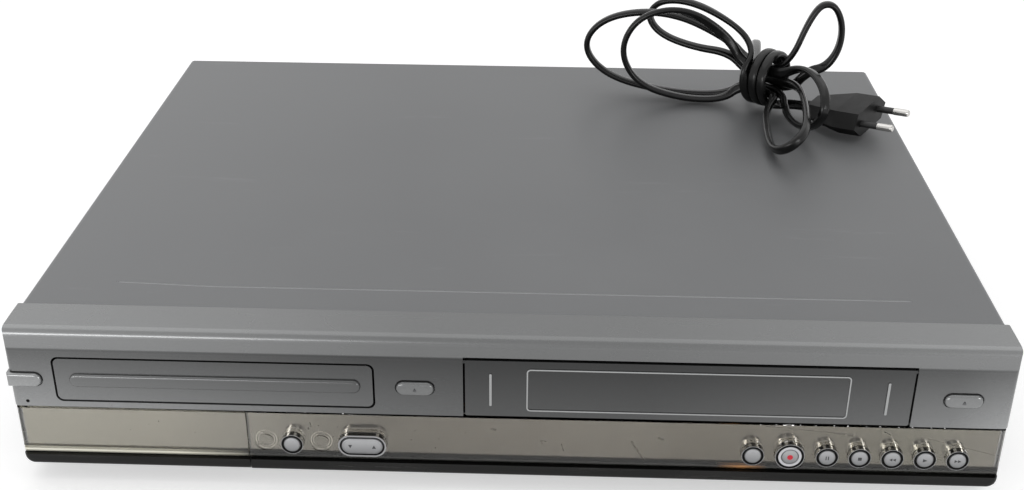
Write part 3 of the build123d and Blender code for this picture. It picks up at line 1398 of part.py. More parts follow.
def bends(points):
    """Largest easy radius at each inner point: the shorter run's share over the half turn's tangent."""
    radii = []
    for before, here, after in zip(points, points[1:], points[2:]):
        shorter = min((here - before).length, (after - here).length)
        radii.append(0.45 * shorter / tan(radians((here - before).get_angle(after - here)) / 2))
    return radii


handover = (lead_route[-2] + lead_route[-1]) / 2
free_points = lead_route[:-1] + [handover]
hank_points = [handover, lead_route[-1]] + hank_route

with BuildPart() as power_cord:
    with BuildLine() as free_route:
        FilletPolyline(*free_points, radius=bends(free_points))
    with BuildSketch(Plane(origin=free_points[0], z_dir=free_points[1] - free_points[0])):
        RegularPolygon(cord_thickness / 2, cord_sides)
    sweep(path=free_route.wires()[0])
power_cord.part.label = "power_cord"
export_step(power_cord.part, "parts/power_cord.step")

with BuildPart() as cord_hank:
    with BuildLine() as hank_line:
        FilletPolyline(*hank_points, radius=bends(hank_points))
    with BuildSketch(Plane(origin=hank_points[0], z_dir=hank_points[1] - hank_points[0])):
        RegularPolygon(cord_thickness / 2, cord_sides)
    sweep(path=hank_line.wires()[0])
cord_hank.part.label = "cord_hank"
export_step(cord_hank.part, "parts/cord_hank.step")
hank_wire = hank_line.wires()[0]
lead_wire = free_route.wires()[0]

# Least distance between the tube and itself, away from each point's own neighbourhood.
samples = []
for edge in hank_wire.edges():
    steps = max(1, round(edge.length))
    samples += [tuple(edge @ (index / steps)) for index in range(steps)]
own_stretch = round(3 * cord_thickness)
least_gap = min(
    ((ax - bx) ** 2 + (ay - by) ** 2 + (az - bz) ** 2) ** 0.5
    for first, (ax, ay, az) in enumerate(samples)
    for bx, by, bz in samples[first + own_stretch :]
)
section_area = cord_sides / 2 * (cord_thickness / 2) ** 2 * sin(2 * pi / cord_sides)
print(f"least gap of the hank to itself {least_gap - cord_thickness:.2f} mm")
print(f"length of the lead {lead_wire.length + hank_wire.length:.0f} mm")
print("bend radii of the free stretch", [round(radius, 1) for radius in bends(free_points)])
print(f"smallest bend radius of the hank {min(bends(hank_points)):.1f} mm")
print(f"volume of the hank {cord_hank.part.volume:.0f} mm3")
print(f"section times length {section_area * hank_wire.length:.0f} mm3")

# The strain relief snaps into the rear panel and tapers down round the lead, with four grooves.
gland_flange = (7.8, 2.4)
gland_neck = 6.0
gland_tail = (5.4, cord_thickness / 2 + 1.0)
gland_groove = (1.4, 3.6)  # width and pitch

with BuildPart() as cord_gland:
    with BuildSketch(facing(panel_out_y + seat)):
        with Locations((cord_x, cord_z)):
            Circle(gland_flange[0])
    extrude(amount=-gland_flange[1])
    tail_start = panel_out_y + seat + gland_flange[1]
    for y, radius in ((tail_start, gland_tail[0]), (back_y + gland_reach - seat, gland_tail[1])):
        with BuildSketch(facing(y)):
            with Locations((cord_x, cord_z)):
                Circle(radius)
    loft()
    for index in range(4):
        with BuildSketch(facing(tail_start + 2.0 + gland_groove[1] * index)):
            with Locations((cord_x, cord_z)):
                Circle(gland_neck)
                Circle(gland_tail[1], mode=Mode.SUBTRACT)
        extrude(amount=-gland_groove[0], mode=Mode.SUBTRACT)
    rod((cord_x, panel_in_y + 0.5, cord_z), gland_neck, 3.0, "Y")
    rod((cord_x, panel_in_y - 1.8, cord_z), gland_neck + 0.8, 3.4, "Y")
cord_gland.part.label = "cord_gland"
export_step(cord_gland.part, "parts/cord_gland.step")

# Flat two-pin plug: a six-sided body that narrows towards the lead, and two pins with sleeves.
plug_relief = 6.0
plug_length = 36.0
plug_size = (35.3, 13.7)
plug_neck = (20.0, 9.6)
plug_parallel = 14.0
plug_slope = 0.45
pin_spacing = 18.6
pin_radius = 2.0
pin_length = 19.0
sleeve_radius = 1.85
sleeve_length = 10.0
plug_face = plug_entry + plug_along * (plug_relief + plug_length)
plug_level = Vector(0.62, 0.76, 0.19)
plug_across = (plug_level - plug_along * plug_level.dot(plug_along)).normalized()


def plug_plane(along):
    """Plane square to the plug's axis, a distance behind its pin face, with X across its width."""
    return Plane(origin=plug_face - plug_along * along, x_dir=plug_across, z_dir=plug_along)


with BuildPart() as mains_plug:
    for along, (wide, thick) in ((plug_length, plug_neck), (plug_parallel, plug_size), (0, plug_size)):
        with BuildSketch(plug_plane(along)):
            with BuildLine():
                Polyline(
                    (-wide / 2, 0),
                    (-wide / 2 + plug_slope * thick, -thick / 2),
                    (wide / 2 - plug_slope * thick, -thick / 2),
                    (wide / 2, 0),
                    (wide / 2 - plug_slope * thick, thick / 2),
                    (-wide / 2 + plug_slope * thick, thick / 2),
                    close=True,
                )
            make_face()
    loft(ruled=True)
    with BuildSketch(plug_plane(plug_length + plug_relief)):
        Circle(cord_thickness / 2 + 1.0)
    extrude(amount=plug_relief)
mains_plug.part.label = "mains_plug"
export_step(mains_plug.part, "parts/mains_plug.step")

with BuildPart() as plug_pins:
    for start, length, radius in ((0, sleeve_length, sleeve_radius), (sleeve_length, pin_length, pin_radius)):
        with BuildSketch(plug_plane(-start)):
            with GridLocations(pin_spacing, 1.0, 2, 1):
                Circle(radius)
        extrude(amount=length - start)
    fillet(plug_pins.edges().sort_by(Axis(plug_face, plug_along))[-2:], 1.2)
plug_pins.part.label = "plug_pins"
export_step(plug_pins.part, "parts/plug_pins.step")
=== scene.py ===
"""Disc and cassette recorder with its mains lead tied in a hank on top: finishes, marks and light.

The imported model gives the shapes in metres. Sizes on the object are written in millimetres, as in
the part's drawing, and `mm` turns them into metres; the camera and the lamps stand in metres.
X is to the viewer's right, Y to the back, Z up.
"""

import math

import bmesh
import bpy
from mathutils import Matrix, Vector

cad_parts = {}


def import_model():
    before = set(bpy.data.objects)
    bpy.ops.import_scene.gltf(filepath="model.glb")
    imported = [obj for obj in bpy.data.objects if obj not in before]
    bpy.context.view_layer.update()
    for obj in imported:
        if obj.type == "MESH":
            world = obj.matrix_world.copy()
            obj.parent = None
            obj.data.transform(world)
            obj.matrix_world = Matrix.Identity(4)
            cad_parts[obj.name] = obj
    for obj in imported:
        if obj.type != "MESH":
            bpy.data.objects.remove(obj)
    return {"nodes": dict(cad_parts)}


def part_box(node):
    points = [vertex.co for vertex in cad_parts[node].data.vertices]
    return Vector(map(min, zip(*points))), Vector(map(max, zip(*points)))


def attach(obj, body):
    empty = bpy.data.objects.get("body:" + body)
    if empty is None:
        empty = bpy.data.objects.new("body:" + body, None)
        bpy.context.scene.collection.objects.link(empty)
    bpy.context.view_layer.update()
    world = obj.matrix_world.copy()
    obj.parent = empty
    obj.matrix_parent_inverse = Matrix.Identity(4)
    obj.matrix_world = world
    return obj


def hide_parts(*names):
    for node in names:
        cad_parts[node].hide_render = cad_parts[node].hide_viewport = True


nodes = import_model()["nodes"]
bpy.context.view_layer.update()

# ---------------------------------------------------------------- camera
# Stands in front, a little to the right of the middle, and looks down by about thirty degrees. Its
# shift sets the cabinet low in the picture, with the hank just inside the upper edge.


def put(name, data):
    """A new object at the origin that holds a camera, a lamp, a curve or a mesh."""
    made = bpy.data.objects.new(name, data)
    bpy.context.scene.collection.objects.link(made)
    return made


camera = put("camera", bpy.data.cameras.new("camera"))
bpy.context.scene.camera = camera
camera.location = (0.01662, -0.68176, 0.37534)
camera.rotation_euler = [math.radians(turn) for turn in (61.06, -0.30, 2.05)]
camera.data.sensor_width = 36.0
camera.data.lens = 49.55
camera.data.shift_x = 0.0051
camera.data.shift_y = 0.0616

# ---------------------------------------------------------------- mains lead
# Flat twin lead with a glossy black sheath. It leaves a gland in the rear panel, comes up over the
# back edge and lies on the cover as a hank: three loops to the left and three to the right of a
# waist, held by just over two turns of its own length, and it ends in a flat two-pin plug.
mm = 0.001
back_y, cover_top = 172.0, 78.0
gland_x, gland_height = 150.0, 30.0
lead_origin = Vector((gland_x, back_y, cover_top))
strand_pitch = 6.2
waist_half = 13.0
waist = lead_origin + Vector((-9.0, -66.0, 19.0))
waist_along = Vector((0.75, -0.66, 0)).normalized()
waist_across = Vector((0.66, 0.75, 0)).normalized()
upward = Vector((0, 0, 1))
plug_along = Vector((0.765, -0.642, 0.109)).normalized()
plug_entry = lead_origin + Vector((12.5, -78.9, 6.5))


def in_waist(column, row, along):
    """Point on one of the strands that run side by side through the waist."""
    beside = waist_across * (column * strand_pitch) + upward * (row * strand_pitch)
    return waist + beside + waist_along * along


def loop(start, end, side, first, tip, heights, count, spread, lean=0.0, rise=1.6, power=1.0):
    """Control points of an oval loop beyond one end of the waist, between two of its strands.

    It goes out to the tip, given from the lead's origin, between two heights over the cover. Lean
    widens it, rise says how soon it climbs, and a power under 1 makes it blunter.
    """
    root = (in_waist(*start, side * waist_half) + in_waist(*end, side * waist_half)) / 2
    middle = sum(heights) / 2 - root.z + cover_top
    reach = Vector((lead_origin.x + tip[0] - root.x, lead_origin.y + tip[1] - root.y, 0))
    aside = Vector((-reach.y, reach.x, 0)).normalized()
    points = []
    for index in range(count):
        angle = math.radians(first * spread * (1 - 2 * index / (count - 1)))
        out = (1 + math.copysign(abs(math.cos(angle)) ** power, math.cos(angle))) / 2
        over = math.copysign(abs(math.sin(angle)) ** power, math.sin(angle))
        lift = middle * min(1, out * rise) + (heights[1] - heights[0]) / 2 * over
        lift = max(lift, cover_top + heights[0] - root.z)
        points.append(root + reach * out + aside * (lean * over) + upward * lift)
    return points


def strand(column, row, side):
    """The two ends of a strand through the waist, from the given side to the other."""
    return [in_waist(column, row, side * waist_half), in_waist(column, row, -side * waist_half)]


lead_points = [
    Vector((gland_x, back_y + 21, gland_height)),
    Vector((gland_x, back_y + 38, gland_height + 0.5)),
    Vector((gland_x, back_y + 54, gland_height + 10)),
    Vector((gland_x, back_y + 59, gland_height + 27.5)),
]
for offset in ((-0.5, 53, -3), (-1.5, 37, 7.5), (-4, 15, 9.5), (-7.5, -6, 9.5), (-12, -26, 9)):
    lead_points.append(lead_origin + Vector(offset))
back_low, centre = (1, -1), (0, 0)
middle_high, middle_low = (0, 1), (0, -1)
front_high, front_low = (-1, 1), (-1, -1)
lead_points += strand(*back_low, -1)
lead_points += loop(back_low, middle_high, 1, -1, (31, -72), (25, 68), 6, 105, rise=2.2)
lead_points += strand(*middle_high, 1)
lead_points += loop(middle_high, middle_low, -1, 1, (-117, -41), (3, 55), 7, 138)
lead_points += strand(*middle_low, -1)
lead_points += loop(middle_low, front_high, 1, -1, (15.5, -125), (4, 35), 7, 120, lean=3.5)
lead_points += strand(*front_high, 1)
lead_points += loop(front_high, front_low, -1, 1, (-95, -59), (3, 61), 7, 138)
lead_points += strand(*front_low, -1)
lead_points += loop(front_low, centre, 1, -1, (-5.5, -152), (3, 19), 9, 130, lean=10, power=0.75)
lead_points += strand(*centre, 1)
# The last loop on the left passes straight into the turns, so its closing point is left out.
lead_points += loop(centre, centre, -1, -1, (-78, -32), (29, 60), 7, 130)[:6]
lead_points.append(lead_origin + Vector((-24.5, -54, 44)))
turn_start, turn_end, turn_steps, turn_pitch = 110.0, 955.0, 19, 5.8
turn_radius, first_turn = 14.9, -6.5
# The control points of a curve stand a little outside the circle that it follows.
control_radius = 0.985 * turn_radius / math.cos(math.pi / 8)
for index in range(turn_steps + 1):
    swept = (turn_end - turn_start) * index / turn_steps
    angle = math.radians(turn_start + swept)
    spoke = waist_across * math.cos(angle) + upward * math.sin(angle)
    along = first_turn + turn_pitch * swept / 360
    lead_points.append(waist + waist_along * along + spoke * control_radius)
lead_points.append(lead_origin + Vector((-1.5, -70.2, 3.6)))
lead_points += [plug_entry - plug_along * 8.5, plug_entry]

route = bpy.data.curves.new("lead_route", "CURVE")
route.dimensions = "3D"
line = route.splines.new("NURBS")
line.points.add(len(lead_points) - 1)
for control, place in zip(line.points, lead_points):
    control.co = (*(place * mm), 1)
line.order_u = 3
line.use_endpoint_u = True
line.resolution_u = 12
route_object = put("lead_route", route)
bpy.context.view_layer.update()
smooth_route = route_object.evaluated_get(bpy.context.evaluated_depsgraph_get())
walked = bpy.data.meshes.new_from_object(smooth_route)
path = [vertex.co.copy() for vertex in walked.vertices]
bpy.data.meshes.remove(walked)
bpy.data.objects.remove(route_object)

tangents = []
for before, after in zip([path[0]] + path[:-1], path[1:] + [path[-1]]):
    tangents.append((after - before).normalized())
# The flat side follows the bends: its width lies along the axis that the lead bends about.
bend_axes = []
for before, after in zip([tangents[0]] + tangents[:-1], tangents[1:] + [tangents[-1]]):
    bend = before.cross(after)
    held = bend_axes[-1] if bend_axes else Vector((1, 0, 0))
    bend_axes.append(bend if bend.dot(held) >= 0 else -bend)
soft_reach = 14
smooth_axes = []
for index in range(len(path)):
    total = Vector((0, 0, 0))
    for near in range(max(0, index - soft_reach), min(len(path), index + soft_reach + 1)):
        total += bend_axes[near] * (1 - abs(near - index) / (soft_reach + 1))
    smooth_axes.append(total)

lead_width, lead_thickness, lead_sides = 5.6, 3.8, 20
groove_depth, groove_spread, flatness = 0.22, 0.8, 0.8
section = []
for index in range(lead_sides):
    angle = 2 * math.pi * index / lead_sides
    across = lead_width / 2 * math.cos(angle)
    dip = groove_depth * math.exp(-((across / groove_spread) ** 2))
    over = math.copysign(abs(math.sin(angle)) ** flatness, math.sin(angle))
    thick = lead_thickness / 2 * over
    section.append((across, thick - math.copysign(dip, thick) if abs(thick) > dip else thick))


def mesh_piece(name, build):
    """A new object at the origin whose mesh a function fills in, with its faces turned outwards."""
    shape = bmesh.new()
    build(shape)
    bmesh.ops.recalc_face_normals(shape, faces=shape.faces[:])
    mesh = bpy.data.meshes.new(name)
    shape.to_mesh(mesh)
    shape.free()
    return put(name, mesh)


def twin_sheath(shape):
    """The lead's flat section carried along its smoothed route."""
    follow = 0.1
    rings = []
    carried = Vector((1, 0, 0))
    for place, forward, bend in zip(path, tangents, smooth_axes):
        carried = carried - forward * carried.dot(forward)
        carried.normalize()
        wanted = bend - forward * bend.dot(forward)
        if wanted.length > 1e-3:
            wanted = wanted if wanted.dot(carried) >= 0 else -wanted
            carried = (carried * (1 - follow) + wanted.normalized() * follow).normalized()
        thick = forward.cross(carried)
        ring = [shape.verts.new(place + (carried * x + thick * y) * mm) for x, y in section]
        rings.append(ring)
    for first, second in zip(rings, rings[1:]):
        for index in range(lead_sides):
            after = (index + 1) % lead_sides
            shape.faces.new((first[index], first[after], second[after], second[index]))
    shape.faces.new(rings[0])
    shape.faces.new(rings[-1])
    for face in shape.faces:
        face.smooth = True


mains_lead = mesh_piece("mains_lead", twin_sheath)


class Channel:
    """A socket of a node tree that Python's own operators work on."""

    def __init__(self, graph, socket):
        self.graph = graph
        self.socket = socket

    def joined(self, operation, first, second=0.0):
        return self.graph.node("ShaderNodeMath", {"operation": operation}, {0: first, 1: second})

    def __add__(self, other):
        return self.joined("ADD", self, other)

    def __radd__(self, other):
        return self.joined("ADD", other, self)

    def __sub__(self, other):
        return self.joined("SUBTRACT", self, other)

    def __rsub__(self, other):
        return self.joined("SUBTRACT", other, self)

    def __mul__(self, other):
        return self.joined("MULTIPLY", self, other)

    def __rmul__(self, other):
        return self.joined("MULTIPLY", other, self)

    def __truediv__(self, other):
        return self.joined("DIVIDE", self, other)

    def __pow__(self, other):
        return self.joined("POWER", self, other)

    def __lt__(self, other):
        return self.joined("LESS_THAN", self, other)

    def __gt__(self, other):
        return self.joined("GREATER_THAN", self, other)

    def __mod__(self, other):
        return self.joined("FLOORED_MODULO", self, other)

    def __abs__(self):
        return self.joined("ABSOLUTE", self)

    def most(self, other):
        return self.joined("MAXIMUM", self, other)

    def least(self, other):
        return self.joined("MINIMUM", self, other)


class Graph:
    """A node tree in the making."""

    def __init__(self, tree):
        self.tree = tree

    def node(self, kind, settings=None, inputs=None, output=0):
        """Adds a node: its settings come first, then the values or links of its sockets."""
        made = self.tree.nodes.new(kind)
        for name, value in (settings or {}).items():
            if name == "stops":
                while len(made.color_ramp.elements) < len(value):
                    made.color_ramp.elements.new(1.0)
                for element, (position, shade) in zip(made.color_ramp.elements, value):
                    element.position = position
                    element.color = (*shade, 1.0)
            else:
                setattr(made, name, value)
        for name, value in (inputs or {}).items():
            if isinstance(value, Channel):
                self.tree.links.new(value.socket, made.inputs[name])
            else:
                made.inputs[name].default_value = value
        return Channel(self, made.outputs[output])


class Finish(Graph):
    """A procedural material: a Principled shader whose patterns read Object coordinates."""

    def __init__(self, name, colour, rough, **sockets):
        self.material = bpy.data.materials.new(name)
        self.material.use_nodes = True
        super().__init__(self.material.node_tree)
        self.shader = self.tree.nodes["Principled BSDF"]
        self.place = self.node("ShaderNodeTexCoord", output="Object")
        self.shader.inputs["Base Color"].default_value = (*colour, 1.0)
        self.shader.inputs["Roughness"].default_value = rough
        for name, value in sockets.items():
            self.shader.inputs[name.replace("_", " ")].default_value = value

    def grain(self, size, stretch=(1, 1, 1), detail=2.0, roughness=0.5):
        """Noise from 0 to 1 whose patches are about that many millimetres across."""
        squeezed = [1 / times for times in stretch]
        mapped = self.node("ShaderNodeMapping", inputs={"Vector": self.place, "Scale": squeezed})
        sockets = {"Vector": mapped, "Scale": 1 / (size * mm)}
        sockets.update({"Detail": detail, "Roughness": roughness})
        return self.node("ShaderNodeTexNoise", inputs=sockets)

    def band(self, value, low, high):
        """0 below low, 1 above high, straight between them."""
        limits = {"Value": value, "From Min": low, "From Max": high}
        return self.node("ShaderNodeMapRange", inputs=limits)

    def mix(self, share, first, second):
        """The second colour laid over the first by that share."""
        colours = [(*c, 1.0) if isinstance(c, tuple) else c for c in (first, second)]
        sockets = {0: share, 6: colours[0], 7: colours[1]}
        return self.node("ShaderNodeMix", {"data_type": "RGBA"}, sockets, output=2)

    def axis(self, letter):
        """One Object coordinate in millimetres."""
        return self.node("ShaderNodeSeparateXYZ", inputs={0: self.place}, output=letter) * 1000

    def set(self, name, value):
        self.tree.links.new(value.socket, self.shader.inputs[name])

    def bump(self, height, depth, strength=1.0):
        """Relief of that many millimetres."""
        relief = {"Height": height, "Distance": depth * mm, "Strength": strength}
        self.set("Normal", self.node("ShaderNodeBump", inputs=relief))

    def surface(self, kind, inputs):
        """Puts a node that joins shaders in front of the material's output."""
        joined = self.node(kind, inputs=inputs)
        self.tree.links.new(joined.socket, self.tree.nodes["Material Output"].inputs["Surface"])

    def on(self, *pieces):
        """Gives the finish to pieces, or to the nodes of those names."""
        for piece in pieces:
            target = nodes[piece] if isinstance(piece, str) else piece
            target.data.materials.clear()
            target.data.materials.append(self.material)


# The sheath is glossy and a little dusty, with faint ripples from drawing.
sheath = Finish("lead_sheath", (0.004, 0.004, 0.004), 0.22, Specular_IOR_Level=0.3)
dust = sheath.band(sheath.grain(9, detail=4.0), 0.5, 0.8)
sheath.set("Base Color", sheath.mix(dust, (0.0035, 0.0035, 0.0035), (0.008, 0.008, 0.0075)))
sheath.set("Roughness", 0.16 + sheath.grain(3.0) * 0.10)
sheath.bump(sheath.grain(2.2), 0.05, 0.6)
sheath.on(mains_lead)
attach(mains_lead, "cabinet")
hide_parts("power_cord", "cord_hank")

# ---------------------------------------------------------------- plug, pins and gland
# The plug is one black moulding, matt with a fine spark-eroded grain. Its pins are nickelled brass
# with short black sleeves at their roots. The gland in the rear panel is moulded in the same black.


def geometry_tree(name, *sizes, metal=True):
    """An empty Geometry Nodes tree, and its inputs: geometry, the named sizes and a material."""
    graph = Graph(bpy.data.node_groups.new(name, "GeometryNodeTree"))
    asked = [("Geometry", "NodeSocketGeometry")]
    asked += [(label, "NodeSocketFloat") for label in sizes]
    asked += [("Metal", "NodeSocketMaterial")] if metal else []
    for label, kind in asked:
        graph.tree.interface.new_socket(label, in_out="INPUT", socket_type=kind)
    graph.tree.interface.new_socket(
        "Geometry", in_out="OUTPUT", socket_type="NodeSocketGeometry"
    )
    given = graph.tree.nodes.new("NodeGroupInput")
    return graph, [Channel(graph, given.outputs[index]) for index in range(len(asked))]


def close_tree(graph, result):
    """Leads a tree's result to its output."""
    taken = graph.tree.nodes.new("NodeGroupOutput")
    graph.tree.links.new(result.socket, taken.inputs[0])


def tree_inputs(modifier, **values):
    """Sets a tree's named inputs on its modifier, by their identifiers."""
    for label, value in values.items():
        socket = modifier.node_group.interface.items_tree[label.replace("_", " ")]
        modifier[socket.identifier] = value


welding, (facets, sharp) = geometry_tree("weld_and_smooth", "Sharp Angle", metal=False)
welded = welding.node("GeometryNodeMergeByDistance", inputs={"Geometry": facets, "Distance": 2e-6})
for old in ("custom_normal", "sharp_face", "sharp_edge"):
    welded = welding.node("GeometryNodeRemoveAttribute", inputs={"Geometry": welded, "Name": old})
rounded = welding.node(
    "GeometryNodeSetShadeSmooth", {"domain": "FACE"}, {0: welded, "Shade Smooth": True}
)
crisp = welding.node("GeometryNodeInputMeshEdgeAngle") > sharp
creased = {0: rounded, "Selection": crisp, "Shade Smooth": False}
close_tree(welding, welding.node("GeometryNodeSetShadeSmooth", {"domain": "EDGE"}, creased))
sharp_angle = math.radians(32)


def soften(width, *names):
    """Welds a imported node's facets for shading and breaks its sharp edges by that width."""
    for name in names:
        piece = nodes[name]
        join = piece.modifiers.new("weld", "NODES")
        join.node_group = welding.tree
        tree_inputs(join, Sharp_Angle=sharp_angle)
        if width:
            edge = piece.modifiers.new("edge", "BEVEL")
            edge.width = width * mm
            edge.segments = 2
            edge.limit_method = "ANGLE"
            edge.angle_limit = sharp_angle
            edge.harden_normals = True
            edge.use_clamp_overlap = True
        level = piece.modifiers.new("level", "WEIGHTED_NORMAL")
        level.mode = "FACE_AREA"
        level.weight = 90
        level.keep_sharp = True


moulding = Finish("plug_moulding", (0.004, 0.004, 0.004), 0.42, Specular_IOR_Level=0.22)
moulding.set("Roughness", 0.36 + moulding.grain(6) * 0.16)
moulding.bump(moulding.grain(0.35, detail=3.0), 0.04, 0.8)
moulding.on("mains_plug", "cord_gland")
soften(0.7, "mains_plug")
soften(0.3, "cord_gland")

plug_length, sleeve_length = 42.0, 10.0
sleeve_end = plug_entry.dot(plug_along) + plug_length + sleeve_length
pin_metal = Finish("plug_pins", (0.55, 0.54, 0.52), 0.2, Metallic=1.0)
reach = pin_metal.node(
    "ShaderNodeVectorMath",
    {"operation": "DOT_PRODUCT"},
    {0: pin_metal.place, 1: plug_along},
    output="Value",
)
bare = pin_metal.band(reach * 1000, sleeve_end - 0.1, sleeve_end + 0.1)
pin_metal.set("Base Color", pin_metal.mix(bare, (0.012, 0.012, 0.012), (0.56, 0.55, 0.53)))
pin_metal.set("Metallic", bare)
drawn = pin_metal.grain(1.5, stretch=(1, 1, 4))
pin_metal.set("Roughness", 0.42 - bare * 0.22 + drawn * 0.1)
pin_metal.on("plug_pins")
soften(0.15, "plug_pins")

# ---------------------------------------------------------------- top cover
# One folded steel sheet with a line pressed near its front edge, sprayed with a fine metallic grey
# lacquer. It has collected faint rubs and dust, and the rubs are a little glossier. A painted
# highlight lies along the pressed line, and painted light makes the left end paler.
cover = Finish(
    "cover_lacquer", (0.215, 0.222, 0.228), 0.42, Metallic=0.35, Specular_IOR_Level=0.45
)
flake = cover.grain(0.5, detail=1.0)
cloud = cover.grain(90, detail=3.0)
rub = cover.band(cover.grain(14, stretch=(6, 1, 1), detail=6.0, roughness=0.7), 0.62, 0.78)
cloudy = cover.band(cloud, 0.3, 0.7)
# Painted light: the left end of the cover is made paler.
painted_light_left = 1.0 - cover.band(cover.axis("X"), -215.0, -60.0)
base = cover.mix(cloudy, (0.130, 0.1325, 0.136), (0.147, 0.150, 0.153))
base = cover.mix(painted_light_left * 0.6, base, (0.190, 0.193, 0.197))
base = cover.mix(cover.band(flake, 0.35, 0.75) * 0.28, base, (0.186, 0.189, 0.194))
base = cover.mix(rub * 0.2, base, (0.26, 0.264, 0.27))
# Painted highlight: the groove of the pressed line is made lighter.
pressed_y, pressed_half_width, pressed_half_length = -128.7, 3.6, 177.5
pressed_line_highlight = abs(cover.axis("Y") - pressed_y) < pressed_half_width
pressed_line_highlight = pressed_line_highlight * (abs(cover.axis("X")) < pressed_half_length)
below_top = (cover.axis("Z") < cover_top - 0.05) * (cover.axis("Z") > cover_top - 0.6)
base = cover.mix(pressed_line_highlight * below_top, base, (0.42, 0.425, 0.43))
cover.set("Base Color", base)
cover.set("Roughness", 0.38 + cloud * 0.1 - rub * 0.06)
cover.bump(flake, 0.02, 0.5)
cover.on("top_cover")
soften(0.25, "top_cover")

# ---------------------------------------------------------------- front moulding
# Injection-moulded front, lacquered silver: the crown, the band under it and the upper face with
# the openings for tray, door and keys. Its tone changes from end to end, and down the upper face:
# painted reflection and light, darker in the middle, lighter at the ends and towards the foot.
front_half = 215.0
band_low, face_low = 68.4, 39.5


def across_front(made, stops):
    """A colour that changes from the left end of the front to the right one, at places in X."""
    share = made.band(made.axis("X"), -front_half, front_half)
    placed = [((x + front_half) / (2 * front_half), shade) for x, shade in stops]
    return made.node("ShaderNodeValToRGB", {"stops": placed}, {0: share})


def silvers(stops):
    """Painted reflection tones of silver lacquer at places in X: greys with a touch of blue."""
    return [(x, (tone, tone * 1.015, tone * 1.02)) for x, tone in stops]


def scaled(made, colour, times):
    """A colour made lighter or darker by a number or a pattern."""
    return made.node(
        "ShaderNodeVectorMath", {"operation": "SCALE"}, {0: colour, "Scale": times}
    )


def lacquer(name, stops, rough, crown=None):
    """Silver lacquer over plastic: metallic flakes in a thin clear coat, with light rubbing."""
    made = Finish(
        name, (0.15, 0.152, 0.153), rough, Metallic=0.8, Coat_Weight=0.2, Coat_Roughness=0.15
    )
    flakes = made.grain(0.35, detail=1.0)
    streaks = made.band(made.grain(9, stretch=(8, 1, 1), detail=3.0), 0.5, 0.85)
    # Painted light: the tone grows lighter down the upper face; the tones along X are painted
    # reflection.
    painted_light_below = made.band(made.axis("Z"), band_low - 2.0, face_low)
    lit = scaled(made, across_front(made, silvers(stops)), 0.60 + painted_light_below * 0.78)
    if crown:
        on_crown = made.band(made.axis("Z"), band_low - 0.4, band_low)
        lit = made.mix(on_crown, lit, across_front(made, silvers(crown)))
    glint = 0.92 + made.band(flakes, 0.3, 0.75) * 0.16 - streaks * 0.02
    made.set("Base Color", scaled(made, lit, glint))
    made.set("Roughness", rough - 0.02 + streaks * 0.02 + made.grain(30, detail=1.0) * 0.04)
    made.bump(flakes, 0.004, 0.3)
    return made


# Painted reflection and light along X: darker towards the middle of the front, lighter at its ends.
painted_front_tones = [(-215, 0.205), (-150, 0.175), (-60, 0.095), (40, 0.075)]
painted_front_tones += [(150, 0.12), (190, 0.155), (215, 0.23)]
painted_crown_tones = [(-215, 0.235), (-120, 0.20), (-40, 0.155), (60, 0.155), (150, 0.185), (215, 0.215)]
painted_key_tones = [(-215, 0.30), (-60, 0.17), (150, 0.2), (215, 0.24)]
front_keys = "standby_button", "open_close_button", "eject_button"
lacquer("front_lacquer", painted_front_tones, 0.27, painted_crown_tones).on("front_bezel")
lacquer("tray_lacquer", [(-200, 0.165), (-60, 0.10)], 0.22).on("tray_front")
lacquer("key_lacquer", painted_key_tones, 0.22).on(*front_keys)
soften(0.25, "front_bezel")
soften(0.5, "tray_front", *front_keys)

# ---------------------------------------------------------------- cassette door
# The door is a slightly darker lacquered moulding, hinged inside the front, toned along X by
# painted reflection; the raised outline and the two upright bars on its face carry a painted
# highlight.
door_x, door_z, door_front = 77.1, 53.8, -172.05
outline_middle, outline_half, outline_radius = (door_x - 0.1, door_z - 0.3), (68.5, 10.5), 1.8
door = lacquer("door_lacquer", [(-20, 0.062), (60, 0.060), (172, 0.095)], 0.25)
beyond_x = abs(door.axis("X") - outline_middle[0]) - (outline_half[0] - outline_radius)
beyond_z = abs(door.axis("Z") - outline_middle[1]) - (outline_half[1] - outline_radius)
round_corner = (beyond_x.most(0.0) ** 2.0 + beyond_z.most(0.0) ** 2.0) ** 0.5
line_radius, line_half_width = 1.5, 0.4
from_line = abs(round_corner + beyond_x.most(beyond_z).least(0.0) - line_radius)
# Painted highlight along the raised outline's rounded line and on the two upright bars.
painted_ridge_highlight = from_line < line_half_width
bar_half_width, bar_half_height, bar_z = 0.5, 8.4, door_z - 0.5
for bar_x in (door_x - 84.0, door_x + 84.5):
    bar = abs(door.axis("X") - bar_x) < bar_half_width
    painted_ridge_highlight = painted_ridge_highlight.most(bar * (abs(door.axis("Z") - bar_z) < bar_half_height))
proud = door.axis("Y") < door_front
painted = Channel(door, door.shader.inputs["Base Color"].links[0].from_socket)
door.set("Base Color", door.mix(painted_ridge_highlight * proud, painted, (0.34, 0.345, 0.345)))
door.on("cassette_door")
soften(0.18, "cassette_door")

